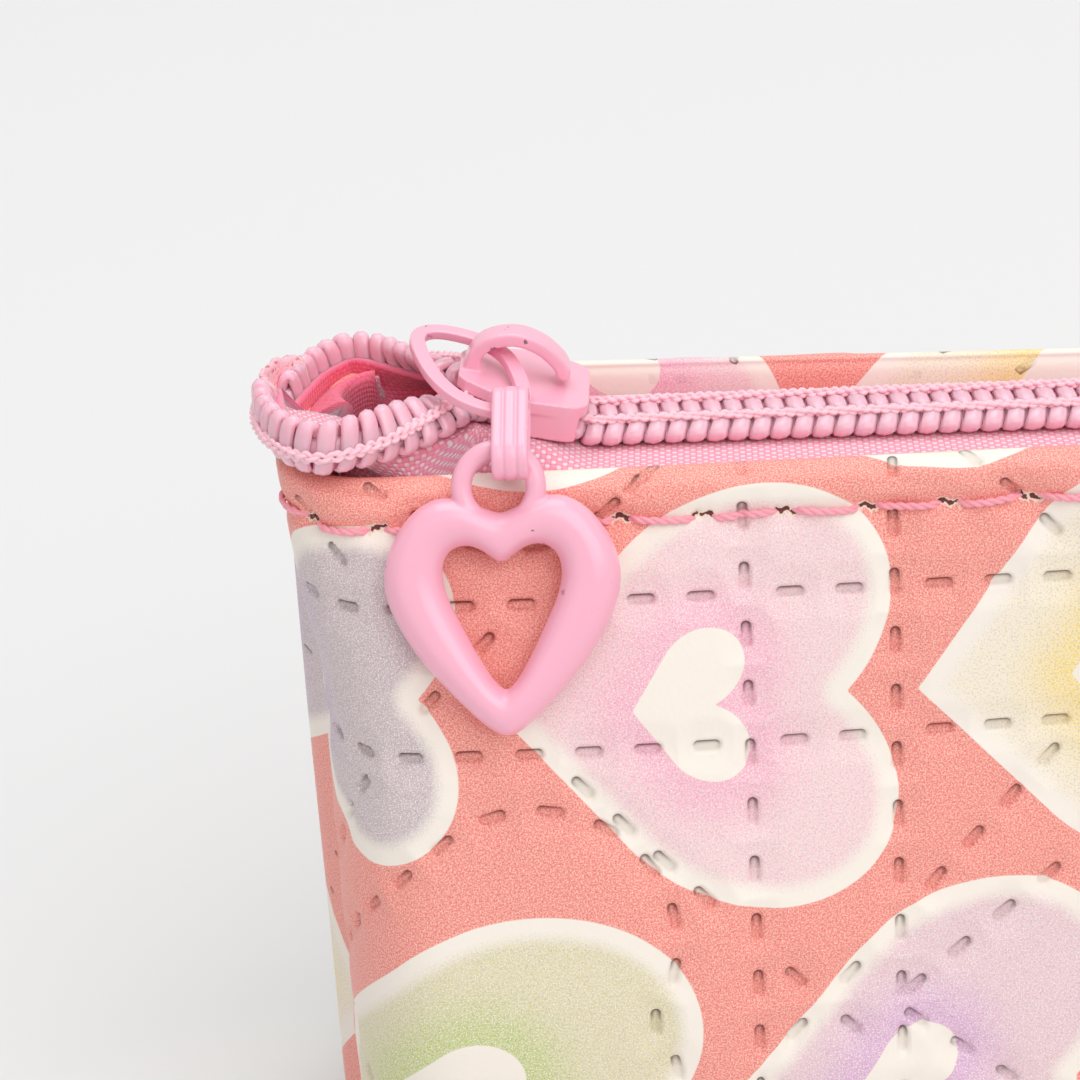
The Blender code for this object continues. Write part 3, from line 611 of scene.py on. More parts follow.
def needle_gaps(place):
    """Distance from the middle line of the nearest slit between two topstitches, in millimetres.

    The line wanders up and down along the hem by two small waves.
    """
    along = (place[..., 0] / STITCH_PITCH) % 1 * STITCH_PITCH
    along = np.minimum(along, STITCH_PITCH - along)
    reach = np.maximum(along - SLIT_HALF, 0)
    wander = 0.12 * np.sin(place[..., 0] * 2.3) + 0.08 * np.sin(place[..., 0] * 7.1)
    return np.hypot(reach, place[..., 1] - STITCH_DOWN + wander)


def dent(distance, half_width):
    """A rounded valley: 1 on its middle line and 0 from half_width outwards."""
    t = np.clip(np.abs(distance) / half_width, 0, 1)
    return (1 - t * t) ** 2


def make_panel(name, replaced, side, columns, material):
    """A panel of foam-backed sheet with its quilting and topstitch valleys pressed in.

    Each point moves in along its normal by the sum of the dents that it lies in.
    """
    section = panel_section()
    grid = outline_points(side, section[:, 0], section[:, 1], columns)
    top = int(np.argmax(section[:, 0]))
    place = cloth_places(grid, top)
    normal = grid_normals(grid, (0, side, 0))
    dash, upper = quilting(place)
    slit = needle_gaps(place)
    outer = np.arange(len(grid))[:, None] <= top + FOLD_ROWS

    # Dashes and slow waves fade away close to the end seams, to the fold and to the foot
    from_end = (HALF_LENGTH - np.abs(grid[..., 0])) * 1000
    fade = smooth_step((from_end - 0.5) / 2.5) * outer * smooth_step((place[..., 1] - 0.3) / 1.2)
    low = smooth_step((grid[..., 2] * 1000 - 4) / 4)
    depth = PUCKER_DEEP * dent(np.maximum(dash, 0), PUCKER_REACH)
    depth = (depth + DASH_DEEP * smooth_step(0.5 - dash / DASH_EDGE)) * fade * low

    # The topstitching draws the sheet in, and its slits go deeper
    stitch = place[..., 1] - STITCH_DOWN
    pull = 0.5 + 0.5 * np.cos(place[..., 0] / STITCH_PITCH * 2 * math.pi)
    depth += (STITCH_PULL[0] * dent(stitch, STITCH_PULL[1])
              + NEEDLE_PULL[0] * pull * dent(stitch, NEEDLE_PULL[1])
              + SLIT_PULL[0] * dent(slit, SLIT_PULL[1])) * outer
    depth += WAVES[0] * soft_noise(place[..., 0], place[..., 1], WAVES[1], 3 + side) * fade * low
    grid = grid - normal * depth[..., None] / 1000
    mesh = build_mesh(name, grid_part(grid))
    set_uv(mesh, "cloth", place)
    outer_heart, inner_heart, tint, haze = hearts(place, side)
    # The dash and slit distances and each dash's place from top to foot also set the painted shade in the
    # dashes and slits
    for key, values in (("dash", np.where(outer, dash, FAR)), ("slit", np.where(outer, slit, FAR)),
                        ("upper", upper), ("heart", outer_heart), ("middle", inner_heart)):
        set_attribute(mesh, key, values)
    set_color(mesh, "tint", tint)
    set_color(mesh, "haze", haze)
    piece = add_piece(name, mesh, material, "pouch", "printed_vinyl", replaced)
    return grid, place, normal


def heart_shape(along, across, long, wide, turn, tip=0.0, count=120):
    """A heart that points to -u from its tip on the u axis: each half is an ellipse and its tangent.

    The ellipse stands at (along, across) with half axes long and wide, turned by an angle.
    """
    t = np.linspace(0, 2 * math.pi, count, endpoint=False)
    c, s = math.cos(turn), math.sin(turn)
    lobe = np.column_stack((long * np.cos(t) * c - wide * np.sin(t) * s,
                            long * np.cos(t) * s + wide * np.sin(t) * c)) + (along, across)
    angle = np.arctan2(lobe[:, 1], lobe[:, 0] - tip)
    lobe = np.roll(lobe, -int(np.argmax(angle)), axis=0)[::-1]
    lobe = np.vstack((lobe[-1:], lobe[:-1]))
    half = np.vstack(((tip, 0.0), lobe[: np.flatnonzero(lobe[:, 1] < 0)[0]]))
    return np.vstack((half, half[:0:-1] * (1, -1)))


def signed_distance(points, outline):
    """Distance from points to a closed outline, above 0 inside it."""
    best = np.full(len(points), 1e9)
    inside = np.zeros(len(points), bool)
    for a, b in zip(outline, np.roll(outline, -1, axis=0)):
        edge = b - a
        rel = points - a
        t = np.clip(rel @ edge / max(edge @ edge, 1e-12), 0, 1)
        best = np.minimum(best, ((rel - t[:, None] * edge) ** 2).sum(1))
        crosses = (a[1] > points[:, 1]) != (b[1] > points[:, 1])
        if edge[1] != 0:
            at = a[0] + (points[:, 1] - a[1]) / edge[1] * edge[0]
            inside ^= crosses & (points[:, 0] < at)
    return np.where(inside, 1, -1) * np.sqrt(best)


# The two shapes of the printed hearts, their middle beyond the tip and how far they reach from it.
# Then the hearts: each tip along and down the cloth, its turn in degrees and its size, the same for
# its pale middle, and its colours close to the middle and further out
OUTER_HEART = heart_shape(16.6, 5.4, 11.6, 9.0, 0.56)
INNER_HEART = heart_shape(15.3, 8.0, 9.6, 8.0, 0.64)
HEART_MIDDLE = 15
HEART_REACH = 27
PINK, YELLOW, VIOLET = ("#FA9AC0", "#F6C6CF"), ("#FBD940", "#F7EACC"), ("#AE87B4", "#BDA7B2")
GREEN, LILAC = ("#AEC434", "#D8CF98"), ("#D795D2", "#E6BAC8")
FRONT_HEARTS = [
    (-87.5, 17.5, -1, 1.00, -78.3, 17.7, -2, 0.33, PINK),
    (-58.4, 17.3, -4, 1.03, -47.6, 17.0, -2, 0.36, YELLOW),
    (-112.3, 15.6, 2, 0.80, -111.0, 15.6, 2, 0.26, VIOLET),
    (-107.4, 43.7, 15, 1.15, -97.2, 45.3, 20, 0.39, GREEN),
    (-72.2, 46.6, 1, 1.02, -63.7, 47.3, 0, 0.32, LILAC),
    (-103.0, -14.0, 2, 1.00, -93.0, -14.0, 2, 0.33, YELLOW),
    (-74.5, -15.0, 4, 1.00, -65.0, -15.0, 4, 0.33, GREEN),
]
BACK_HEARTS = [
    (-94.0, 2.0, 0, 1.00, -83.6, 2.0, 0, 0.33, PINK),
    (-62.5, -4.0, 0, 1.02, -50.5, -4.0, 0, 0.36, YELLOW),
    (-119.5, 24.0, -14, 0.80, -110.0, 22.0, -14, 0.26, VIOLET),
    (-121.0, 50.0, -4, 1.00, -112.0, 50.0, -4, 0.33, YELLOW),
    (-90.0, 39.0, 3, 1.05, -81.0, 39.0, 3, 0.33, LILAC),
    (-64.0, 22.0, 6, 1.00, -55.0, 22.0, 6, 0.33, GREEN),
    (-61.0, 53.0, -5, 1.02, -52.0, 53.0, -5, 0.33, PINK),
]

# Rows of hearts over the rest of a panel, in millimetres: where the first stands, how far apart they
# are along and down, how far right every other row is, how far they wander, and where the even rows
# and the odd ones may start. Then how far on from a heart's tip its middle's is, and that one's size
ROWS_START = (-44.0, -13.0)
ROWS_APART = (29.4, 30.0)
ROW_SHIFT = 14.5
ROW_WANDER = 1.5
ROWS_FROM = (-31.0, -29.5)
MIDDLE_ON = 9.3
MIDDLE_SIZE = 0.34


def heart_list(side):
    """The hearts of one panel: those round the seen corner, and rows of them over the rest."""
    found = list(FRONT_HEARTS if side < 0 else BACK_HEARTS)
    colors = (VIOLET, GREEN, PINK, LILAC, YELLOW)
    for row in range(4):
        odd = row % 2
        for k in range(6):
            wobble = math.sin(k * 2.1 + row * 1.3 + side)
            along = ROWS_START[0] + ROWS_APART[0] * k + (ROW_SHIFT if odd or side < 0 else 0)
            along += ROW_WANDER * wobble
            down = ROWS_START[1] + ROWS_APART[1] * row + ROW_WANDER * math.cos(k * 1.7 + row)
            if along < ROWS_FROM[odd]:
                continue
            turn, size = 12 * wobble, 1.0 + 0.06 * math.sin(k + 2.0 * row)
            c, s = math.cos(math.radians(turn)), math.sin(math.radians(turn))
            found.append((along, down, turn, size, along + MIDDLE_ON * c, down + MIDDLE_ON * s, turn,
                          MIDDLE_SIZE, colors[(k + 2 * row) % 5]))
    return found


def inside_heart(flat, shape, along, down, turn, size):
    """Distance inside one heart, in millimetres, above 0 inside it."""
    c, s = math.cos(math.radians(turn)), math.sin(math.radians(turn))
    rel = flat - (along, down)
    local = np.column_stack((rel[:, 0] * c + rel[:, 1] * s, rel[:, 1] * c - rel[:, 0] * s)) / size
    return signed_distance(local, shape) * size


def hearts(place, side):
    """Distance inside the outer hearts and the inner ones, and both colours, at each place."""
    flat = place.reshape(-1, 2)
    outer = np.full(len(flat), -FAR)
    inner = np.full(len(flat), -FAR)
    tint = np.tile(linear(PINK[0]), (len(flat), 1))
    haze = np.tile(linear(PINK[1]), (len(flat), 1))
    for along, down, turn, size, in_along, in_down, in_turn, in_size, codes in heart_list(side):
        near = np.hypot(flat[:, 0] - along - HEART_MIDDLE, flat[:, 1] - down) < HEART_REACH * size
        if not near.any():
            continue
        out = inside_heart(flat[near], OUTER_HEART, along, down, turn, size)
        middle = inside_heart(flat[near], INNER_HEART, in_along, in_down, in_turn, in_size)
        better = out > outer[near]
        index = np.flatnonzero(near)[better]
        outer[index] = out[better]
        inner[index] = middle[better]
        tint[index], haze[index] = linear(codes[0]), linear(codes[1])
    return outer, inner, tint, haze


# Zip

def zip_route(side):
    """Points of a row of heads from the right end to its end at the left, each x, y, z and roll."""
    shares = FRONT_ROUTE_SHARES if side < 0 else BACK_ROUTE_SHARES
    x = LEFT_END + OPEN_LENGTH * shares[:, 0]
    out = HEAD_GAP / 2 + TOP_HALF * shares[:, 1]
    z = HEAD_LEVEL + ROLL_RISE * shares[:, 2]
    keys = np.column_stack((x, side * out, z, shares[:, 3] * math.pi / 2))
    start = np.array((HALF_LENGTH - ZIP_END, side * HEAD_GAP / 2, HEAD_LEVEL, 0.0))
    return np.vstack((start, smooth_curve(keys, 24)))


def zip_frames(side, distance, extra=0.0):
    """A zip row's head points, and at each the ways across, up and outwards, its roll and its distance.

    extra carries the row on straight beyond its open end.
    """
    route = zip_route(side)
    if extra:
        last = route[-1] - route[-8]
        last[2:] = 0
        route = np.vstack((route, route[-1] + last / np.linalg.norm(last) * extra))
    length = lengths_along(route[:, :3])
    marks = np.arange(0, length[-1], distance)
    route = read_at(marks, length, route)
    past = route[:, 0] - LEFT_END - OPEN_LENGTH * DROP_FROM_SHARE
    route[:, 2] -= CHAIN_DROP * smooth_step(past / DROP_FADE)
    points, roll = route[:, :3], route[:, 3:]
    step = max(1, int(round(HEADING_REACH / distance)))
    wide = np.vstack((np.repeat(points[:1], step, 0), points, np.repeat(points[-1:], step, 0)))
    heading = wide[2 * step:] - wide[: -2 * step]
    heading[:, 2] = 0
    heading = unit(heading)
    out = np.column_stack((heading[:, 1], -heading[:, 0], np.zeros(len(heading)))) * side
    up = np.array((0.0, 0.0, 1.0))
    across = np.cos(roll) * out - np.sin(roll) * up
    normal = np.sin(roll) * out + np.cos(roll) * up
    return points, across, normal, out, roll[:, 0], marks


# The coils: how they wind, how far a bead swells their heads, how wide they are pressed and for how
# much of the turn each of these holds, and their filler cords
COIL_POINTS = 30
COIL_MIDDLE = 0.00128
COIL_REACH = 0.00160
COIL_RISE = 0.00052
WIRE = 0.00036
HEAD_BULGE = 0.00004
OPEN_BULGE = 0.00012
HEAD_LONG = 0.62
FLATTENED = 1.90
HEAD_ROUND = 0.70
ROUND_LONG = 0.6
CORE_PLACE = 0.00150
CORE_WIDE = 0.00095
CORE_HIGH = 0.00042

# The two threads over each coil: their middle line, how far they wave, and their plies
THREAD_POINTS = 14
THREAD_PLACE = 0.00160
THREAD_LIFT = 0.00002
THREAD_LATE = 1.2
WAVE_WIDE = 0.00024
WAVE_HIGH = 0.00013
PLY_RADIUS = 0.00016
PLY_WIDE = 0.00012
PLY_HIGH = 0.00010
PLY_TURN = 0.0012


def coil_turn(marks, side):
    """The coil's turn at each distance along its row: the back one is half a turn ahead."""
    return marks / COIL_PITCH * 2 * math.pi + (math.pi if side > 0 else 0)


def make_coils(material):
    """Each coil is one monofilament wound as a helix round a filler cord.

    Across the zip it stands at middle - reach * cos(turn), up at rise * sin(turn), and its radius
    grows to a bead where the turn is at its head, more so at the open end. It is pressed wide
    along the row, least at its heads.
    """
    for name, side in (("coil_front", -1), ("coil_back", 1)):
        points, across, normal, _, roll, marks = zip_frames(side, COIL_PITCH / COIL_POINTS)
        turn = coil_turn(marks, side)
        line = (points + across * (COIL_MIDDLE - COIL_REACH * np.cos(turn))[:, None]
                + normal * (COIL_RISE * np.sin(turn))[:, None])
        away = (turn + math.pi) % (2 * math.pi) - math.pi
        bulge = HEAD_BULGE + (OPEN_BULGE - HEAD_BULGE) * np.clip(roll * 2, 0, 1)
        radius = WIRE + bulge * np.exp(-((away / HEAD_LONG) ** 2))
        widen = FLATTENED - HEAD_ROUND * np.exp(-((away / ROUND_LONG) ** 2))
        t = ring_angles(10)
        core = points + across * CORE_PLACE + CORE_WIDE * np.cos(t) * across + CORE_HIGH * np.sin(t) * normal
        parts = (coil_tube(line, across, normal, radius, widen), grid_part(core[:, ::6]))
        mesh = build_mesh(name + "_turns", joined([turned_out(part) for part in parts]))
        add_piece(name + "_turns", mesh, material, "pouch", "nylon_coil", name)


def coil_tube(line, across, normal, radius, widen, sides=8):
    """A tube whose section is set from the coil's own directions and is widened along the row."""
    ahead = unit(np.gradient(line, axis=0))
    row = np.cross(across, normal)
    start = unit(row - ahead * np.sum(row * ahead, axis=1, keepdims=True))
    angle = ring_angles(sides)
    section = widen[:, None] * np.cos(angle) * start + np.sin(angle) * np.cross(ahead, start)
    return grid_part(line + radius[:, None] * section)


def make_coil_threads(material):
    """Along each coil two threads of two plies cross over it once a turn and tie it to its tape.

    They wave to both sides of one line, a quarter turn out of step with each other.
    """
    for name, side in (("front", -1), ("back", 1)):
        points, across, normal, _, _, marks = zip_frames(side, COIL_PITCH / THREAD_POINTS)
        parts = []
        turn = coil_turn(marks, side) - THREAD_LATE
        for wave in (1, -1):
            high = COIL_RISE + WIRE + THREAD_LIFT + WAVE_HIGH * wave * np.cos(turn)
            wide = THREAD_PLACE + WAVE_WIDE * wave * np.sin(turn)
            middle = points + across * wide[:, None] + normal * high[:, None]
            for ply in (0, math.pi):
                twist = marks / PLY_TURN * 2 * math.pi + ply
                line = (middle + across * (PLY_WIDE * np.cos(twist))[:, None]
                        + normal * (PLY_HIGH * np.sin(twist))[:, None])
                parts.append(tube_part(line, PLY_RADIUS, 6))
        mesh = build_mesh("coil_thread_" + name, joined(parts))
        add_piece("coil_thread_" + name, mesh, material, "pouch", "nylon_coil")


def hem_rest(side, points):
    """The place on the hem's inner face that each point's tape is sewn to, as in the solids."""
    gap = 1.5 * CLEARANCE + TAPE_THICKNESS / 2
    levels = ((HEM_STEP * 2, 0.85), (HEM_HEIGHT / 2, 1.0), (HEM_HEIGHT, 1.0))
    outlines = [
        outline_points(side, [BODY_HEIGHT - down], [HEM_THICKNESS * share + gap], FINE_COLUMNS)[0, :, :2]
        for down, share in levels
    ]
    face = np.min(np.abs(outlines), axis=0) * np.sign(outlines[0])
    along = lengths_along(face)
    first = int(np.argmin(face[:, 0]))
    steps = np.linalg.norm(np.diff(points[:, :2], axis=0), axis=1)
    left = np.concatenate((np.cumsum(steps[::-1])[::-1], (0,)))
    straight = np.interp(points[:, 0], face[first:, 0], along[first:])
    mouth_left = np.interp(MOUTH, points[::-1, 0], left[::-1])
    mouth_along = np.interp(MOUTH, face[first:, 0], along[first:])
    turned = TAPE_END + (mouth_along - TAPE_END) * left / mouth_left
    return read_at(np.where(points[:, 0] > MOUTH, straight, turned), along, face)


def beside_slider(side, coil_back, corner, out):
    """The line at which a tape leaves the slider's slot, or comes over the hem's folded top."""
    inside = np.clip((coil_back[:, 0] - MOUTH) / COIL_WIDTH + 1, 0, 1)[:, None]
    beyond = np.sum((coil_back - corner)[:, :2] * out[:, :2], axis=1)[:, None]
    beyond = np.clip(beyond / TAPE_TUCK, 0, 1)
    over = corner.copy()
    over[:, 2] = BODY_HEIGHT + CLEARANCE + TAPE_THICKNESS / 2 + (BACK_HEM_RISE * 1.5 if side > 0 else 0)
    middle = (coil_back + corner) / 2
    bend = middle + (over - middle) * beyond
    slot = coil_back.copy()
    beside = SLIDER_NOSE_HALF + CLEARANCE + TAPE_THICKNESS / 2
    slot[:, 1] = side * np.minimum(beside, np.abs(corner[:, 1]))
    return bend + (slot - bend) * inside


# The tapes: the step along them, how far they go on beyond the last turn of their coils, and where
# their inner faces get painted shade, which starts higher on the back one
TAPE_STEP = 0.00045
TAPE_BEYOND = 0.0014
MOUTH_SHADE_TOP = 0.0650
MOUTH_SHADE_FADE = 0.0026
MOUTH_SHADE_BACK = 0.0030

# Middle line of the turned-up tape ends, x, y, z at the foot, and their height and thickness
TAPE_END_ROUTE = np.array([
    (-0.1024, -0.0012, 0.0648), (-0.1031, 0.0002, 0.0650), (-0.1033, 0.0014, 0.0651),
    (-0.1030, 0.0026, 0.0651), (-0.1022, 0.0037, 0.0650), (-0.1010, 0.0045, 0.0649),
])
TAPE_END_HIGH = 0.0024
TAPE_END_HALF = TAPE_THICKNESS * 0.45

# How far their tops lean outwards, how far they wave, and their ragged top edge's three waves
TAPE_END_LEAN = 0.0004
TAPE_END_WAVE = 0.00012
RAGGED_WAVES = ((0.00016, 11, 0), (0.00008, 29, 1), (0.00004, 67, 2))


def bent_strip(keys, steps):
    """Rows between the key rows of a strip, then averaged three times so that each bend is round."""
    t = np.linspace(0, len(keys) - 1, (len(keys) - 1) * steps + 1)
    i = np.minimum(t.astype(int), len(keys) - 2)
    share = (t - i)[:, None, None]
    rows = keys[i] * (1 - share) + keys[i + 1] * share
    for _ in range(3):
        rows[1:-1] = rows[1:-1] * 0.5 + (rows[:-2] + rows[2:]) * 0.25
    return rows


def make_tapes(material):
    """Each tape runs from under its coil to the hem's inner face, and down it as a flange."""
    half = TAPE_THICKNESS / 2
    for name, side in (("zip_tape_front", -1), ("zip_tape_back", 1)):
        points, across, normal, out, roll, marks = zip_frames(side, TAPE_STEP, TAPE_BEYOND)
        rest = hem_rest(side, points)
        share = (roll / (math.pi / 2))[:, None]
        under = COIL_RISE + WIRE * 0.75 + half
        edge = points + across * TAPE_TUCK - normal * under
        coil_back = points + across * (COIL_WIDTH + CLEARANCE - share * LINING) - normal * under
        corner = np.column_stack((rest, np.full(len(points), TAPE_TOP - half)))
        foot = np.column_stack((rest, np.full(len(points), TAPE_TOP - TAPE_FLANGE)))
        bend = beside_slider(side, coil_back, corner, out)
        lines = bent_strip(np.array((edge, coil_back, bend, corner, foot)), 6)
        step = np.gradient(lines, axis=0)
        flat = np.sum(step * out[None], axis=2)
        size = np.maximum(np.hypot(flat, step[..., 2]), half / 10)
        face = out[None] * (-step[..., 2] / size)[..., None]
        face[..., 2] += flat / size
        grid = np.concatenate((lines + face * half, (lines - face * half)[::-1]))
        mesh = build_mesh(name + "_cloth", grid_part(grid))
        down = np.cumsum(np.linalg.norm(np.diff(lines, axis=0), axis=2), axis=0)
        down = np.vstack((np.zeros((1, len(points))), down))
        down = np.concatenate((down, down[::-1]))
        set_uv(mesh, "weave", np.stack((np.broadcast_to(marks, down.shape), down), -1) * 1000)
        # Where painted shade darkens the tape's inner face, deep in the zip's mouth, for the material
        inner = (np.arange(len(grid)) >= len(lines))[:, None]
        top = MOUTH_SHADE_TOP + (MOUTH_SHADE_BACK if side > 0 else 0)
        set_attribute(mesh, "mouth", inner * smooth_step((top - grid[..., 2]) / MOUTH_SHADE_FADE))
        add_piece(name + "_cloth", mesh, material, "pouch", "woven_tape", name)


def make_tape_end(material):
    """The cut, frayed ends of both tapes, turned up together round the open end of the zip.

    Along the strip its middle line is an arc in plan from the front row to the back one, and it
    leans outwards with height. Its top edge is ragged by three waves.
    """
    t = np.linspace(0, 1, 60)
    arc = smooth_curve(TAPE_END_ROUTE, 12)
    line = read_at(t, np.linspace(0, 1, len(arc)), arc)
    heading = unit(np.gradient(line[:, :2], axis=0))
    outward = np.column_stack((-heading[:, 1], heading[:, 0]))
    share = np.linspace(0, 1, 16)
    ragged = sum(high * np.sin(t * often + late) for high, often, late in RAGGED_WAVES)
    rows = []
    for side, order in ((1, share), (-1, share[::-1])):
        for v in order:
            thick = side * TAPE_END_HALF * (1.3 - 0.7 * v**6)
            out = thick + TAPE_END_LEAN * v * v + TAPE_END_WAVE * np.sin(t * 9 + v * 5)
            flat = line[:, :2] + outward * out[:, None]
            rows.append(np.column_stack((flat, line[:, 2] + v * (TAPE_END_HIGH + ragged))))
    grid = np.array(rows)
    mesh = build_mesh("zip_tape_ends", grid_part(grid))
    down = np.concatenate((share, share[::-1]))[:, None] * TAPE_END_HIGH
    uv = (np.broadcast_to(lengths_along(line), grid.shape[:2]), np.broadcast_to(down, grid.shape[:2]))
    set_uv(mesh, "weave", np.stack(uv, -1) * 1000)
    add_piece("zip_tape_ends", mesh, material, "pouch", "woven_tape")


# Slider, ring, link and charm: the same values as the solids have
SLIDER_LENGTH = 0.0098
SLIDER_TAIL_HALF = 0.0044
SLIDER_PLATE = 0.0009
SLIDER_WALL = 0.0005
SLIDER_ROOM = 0.0004
SLOT = 0.0017
FLANGE_WRAP = math.radians(48)
TAIL_RADIUS = 0.0018
POST_LENGTH = 0.0018
POST_HALF = 0.0009
SLIDER_TILT = math.radians(14)
BRIDGE_WIDTH = 0.0023
BRIDGE_THICKNESS = 0.00105
BRIDGE_FOOT = 0.0020
BRIDGE_RISE = 0.0030
BRIDGE_LENGTH = 0.0063
RING_LENGTH = 0.0102
RING_WIDTH = 0.0066
RING_BAR = 0.0009
RING_THICKNESS = 0.0007
RING_WIDE_RADIUS = 0.0026
RING_PLACE_SHARE = 0.20
RING_RISE_SHARE = 0.38
RING_TURN = math.radians(15)
RING_LEAN = math.radians(9.5)
RING_ROLL = math.radians(10.5)
LINK_WIDTH = 0.0025
LINK_BAND = 0.00045
LINK_PLAY = 0.0004
LINK_DROP = 0.0044
LINK_OFFSET = 0.0005
LINK_SEAT = 0.0004
LINK_SWING = math.radians(65)
CHARM_LOBE = 0.0050
CHARM_THICKNESS = 0.0024
LOOP_RADIUS = 0.00253
LOOP_WIRE = 0.00072
LOOP_RISE = 0.0006
CHARM_LEAN = math.radians(22)

# Where the shown ones differ: shorter flanges and tail, the link moved aside and the charm up
FLANGE_LENGTH = 0.0056
TAIL_CUT = 0.0005
LINK_ASIDE = 0.0009
CHARM_UP = 0.00025

# The castings' skins: the voxel that melts their bodies together, and how often that is smoothed
SLIDER_SKIN = (0.00009, 3)
CHARM_SKIN = (0.00011, 6)

# The plates' nose: where its points stand from its start, and how wide, in its own half width
NOSE_ALONG = np.array((0.0, 0.10, 0.45, 0.86))
NOSE_HALF = np.array((0.44, 0.58, 0.80, 0.95))


def slider_outline(nose_half, tail_half, start, end, radius, steps=14):
    """A plate's outline: a round nose, sides that narrow to the tail and round corners there."""
    t = np.linspace(0, math.pi / 2, steps + 1)
    nose = np.column_stack((start + nose_half * NOSE_ALONG, nose_half * NOSE_HALF))
    tail = np.column_stack((end - radius + radius * np.sin(t), tail_half - radius + radius * np.cos(t)))
    half = np.vstack((nose, tail))
    return np.vstack((half, half[::-1] * (1, -1)))


def prism_part(outline, low, high):
    """A plate with an outline in plan and flat faces at two levels."""
    flat = np.array(outline, float)
    grid = np.stack([np.column_stack((flat, np.full(len(flat), z))) for z in (low, high)], axis=1)
    return grid_part(grid)


def flange_part(side, low, high):
    """One side wall of the slider: it follows the plate's edge and turns in round its tail corner."""
    widen = (SLIDER_NOSE_HALF - SLIDER_TAIL_HALF) / SLIDER_LENGTH
    straight = np.linspace(-FLANGE_LENGTH, -TAIL_RADIUS - TAIL_CUT, 12)
    edge = np.column_stack((straight, SLIDER_TAIL_HALF - widen * (straight + TAIL_RADIUS + TAIL_CUT)))
    t = np.linspace(0, FLANGE_WRAP, 12)[1:]
    centre = (-TAIL_RADIUS - TAIL_CUT, SLIDER_TAIL_HALF - TAIL_RADIUS)
    corner = [np.column_stack((centre[0] + r * np.sin(t), centre[1] + r * np.cos(t)))
              for r in (TAIL_RADIUS, TAIL_RADIUS - SLIDER_WALL)]
    outline = np.vstack((edge, corner[0], corner[1][::-1], edge[::-1] - (0, SLIDER_WALL)))
    return prism_part(outline * (1, side), low, high)


def superellipse(count, power):
    """Points round a rounded square of half size 1: |x|^p + |y|^p = 1."""
    t = np.linspace(0, 2 * math.pi, count, endpoint=False)
    c, s = np.cos(t), np.sin(t)
    return np.column_stack([np.sign(v) * np.abs(v) ** (2 / power) for v in (c, s)])


# The bridge's middle line as shares of its length and rise, and the share of it that rounds its end
BRIDGE_PATH = np.array([
    (0.00, 0.00), (-0.02, 0.45), (0.10, 0.85), (0.38, 1.08), (0.66, 1.00), (0.88, 0.74), (0.980, 0.50),
    (0.970, 0.31),
])
BRIDGE_END = 0.075


def bridge_part(nose, base):
    """The open bridge: a broad foot at the nose, an arch over the plate and a free, rounded end."""
    path = smooth_curve(BRIDGE_PATH * (BRIDGE_LENGTH, BRIDGE_RISE), 10)
    foot_x = nose + BRIDGE_FOOT / 2
    along = np.linspace(0, 1, len(path))
    to_end = np.clip((1 - along) / BRIDGE_END, 0.04, 1)
    full = np.sqrt(1 - (1 - to_end) ** 2)
    thick = BRIDGE_THICKNESS + (BRIDGE_FOOT - BRIDGE_THICKNESS) * np.clip(1 - along * 6, 0, 1) ** 2
    thick *= full
    width = BRIDGE_WIDTH * (0.8 + 0.2 * full)
    heading = unit(np.gradient(path, axis=0))
    normal = np.column_stack((-heading[:, 1], heading[:, 0]))
    rings = []
    for share_y, share_n in superellipse(36, 6.0):
        offset = path + normal * (share_n * thick / 2)[:, None]
        rings.append(np.column_stack((foot_x + offset[:, 0], share_y * width / 2, base + offset[:, 1])))
    return grid_part(np.array(rings))


def remeshed(name, part, voxel, smooth):
    """One closed skin over several overlapping closed bodies, with its edges rounded a little."""
    mesh = build_mesh(name + "_parts", part)
    piece = bpy.data.objects.new(name + "_parts", mesh)
    bpy.context.scene.collection.objects.link(piece)
    remesh = piece.modifiers.new("skin", "REMESH")
    remesh.mode = "VOXEL"
    remesh.voxel_size = voxel
    rounding = piece.modifiers.new("round", "SMOOTH")
    rounding.factor = 0.5
    rounding.iterations = smooth
    bpy.context.view_layer.update()
    graph = bpy.context.evaluated_depsgraph_get()
    made = bpy.data.meshes.new_from_object(piece.evaluated_get(graph))
    made.name = name
    bpy.data.objects.remove(piece, do_unlink=True)
    bpy.data.meshes.remove(mesh)
    made.shade_smooth()
    return made


def make_slider(material):
    """The die-cast slider, in its own frame first: x from nose to tail, z = 0 on the chain's middle."""
    room = COIL_THICKNESS / 2 + SLIDER_ROOM
    floor = -(COIL_THICKNESS / 2 + CLEARANCE + TAPE_THICKNESS + SLIDER_ROOM)
    roof = room + SLIDER_PLATE
    slot_middle = -(COIL_THICKNESS / 2 + CLEARANCE + TAPE_THICKNESS / 2)
    nose = -SLIDER_LENGTH
    outline = slider_outline(SLIDER_NOSE_HALF, SLIDER_TAIL_HALF, nose, -TAIL_CUT, TAIL_RADIUS)
    parts = [prism_part(outline, room, roof), prism_part(outline, floor - SLIDER_PLATE, floor)]
    for side in (-1, 1):
        parts.append(flange_part(side, slot_middle + SLOT / 2, room + SLIDER_PLATE / 2))
        parts.append(flange_part(side, floor - SLIDER_PLATE / 2, slot_middle - SLOT / 2))
    post = slider_outline(POST_HALF, POST_HALF * 0.4, nose + SLIDER_WALL,
                          nose + SLIDER_WALL + POST_LENGTH, POST_HALF * 0.3)
    parts.append(prism_part(post, floor - SLIDER_PLATE / 2, room + SLIDER_PLATE / 2))
    parts.append(bridge_part(nose, roof - SLIDER_PLATE / 2))
    place = Matrix.Translation((LEFT_END + OPEN_LENGTH, 0, HEAD_LEVEL))
    place = place @ Matrix.Rotation(SLIDER_TILT, 4, "Y")
    whole = moved(joined([turned_out(part) for part in parts]), place)
    mesh = remeshed("slider_casting", whole, *SLIDER_SKIN)
    add_piece("slider_casting", mesh, material, "slider", "painted_zinc", "slider_body")


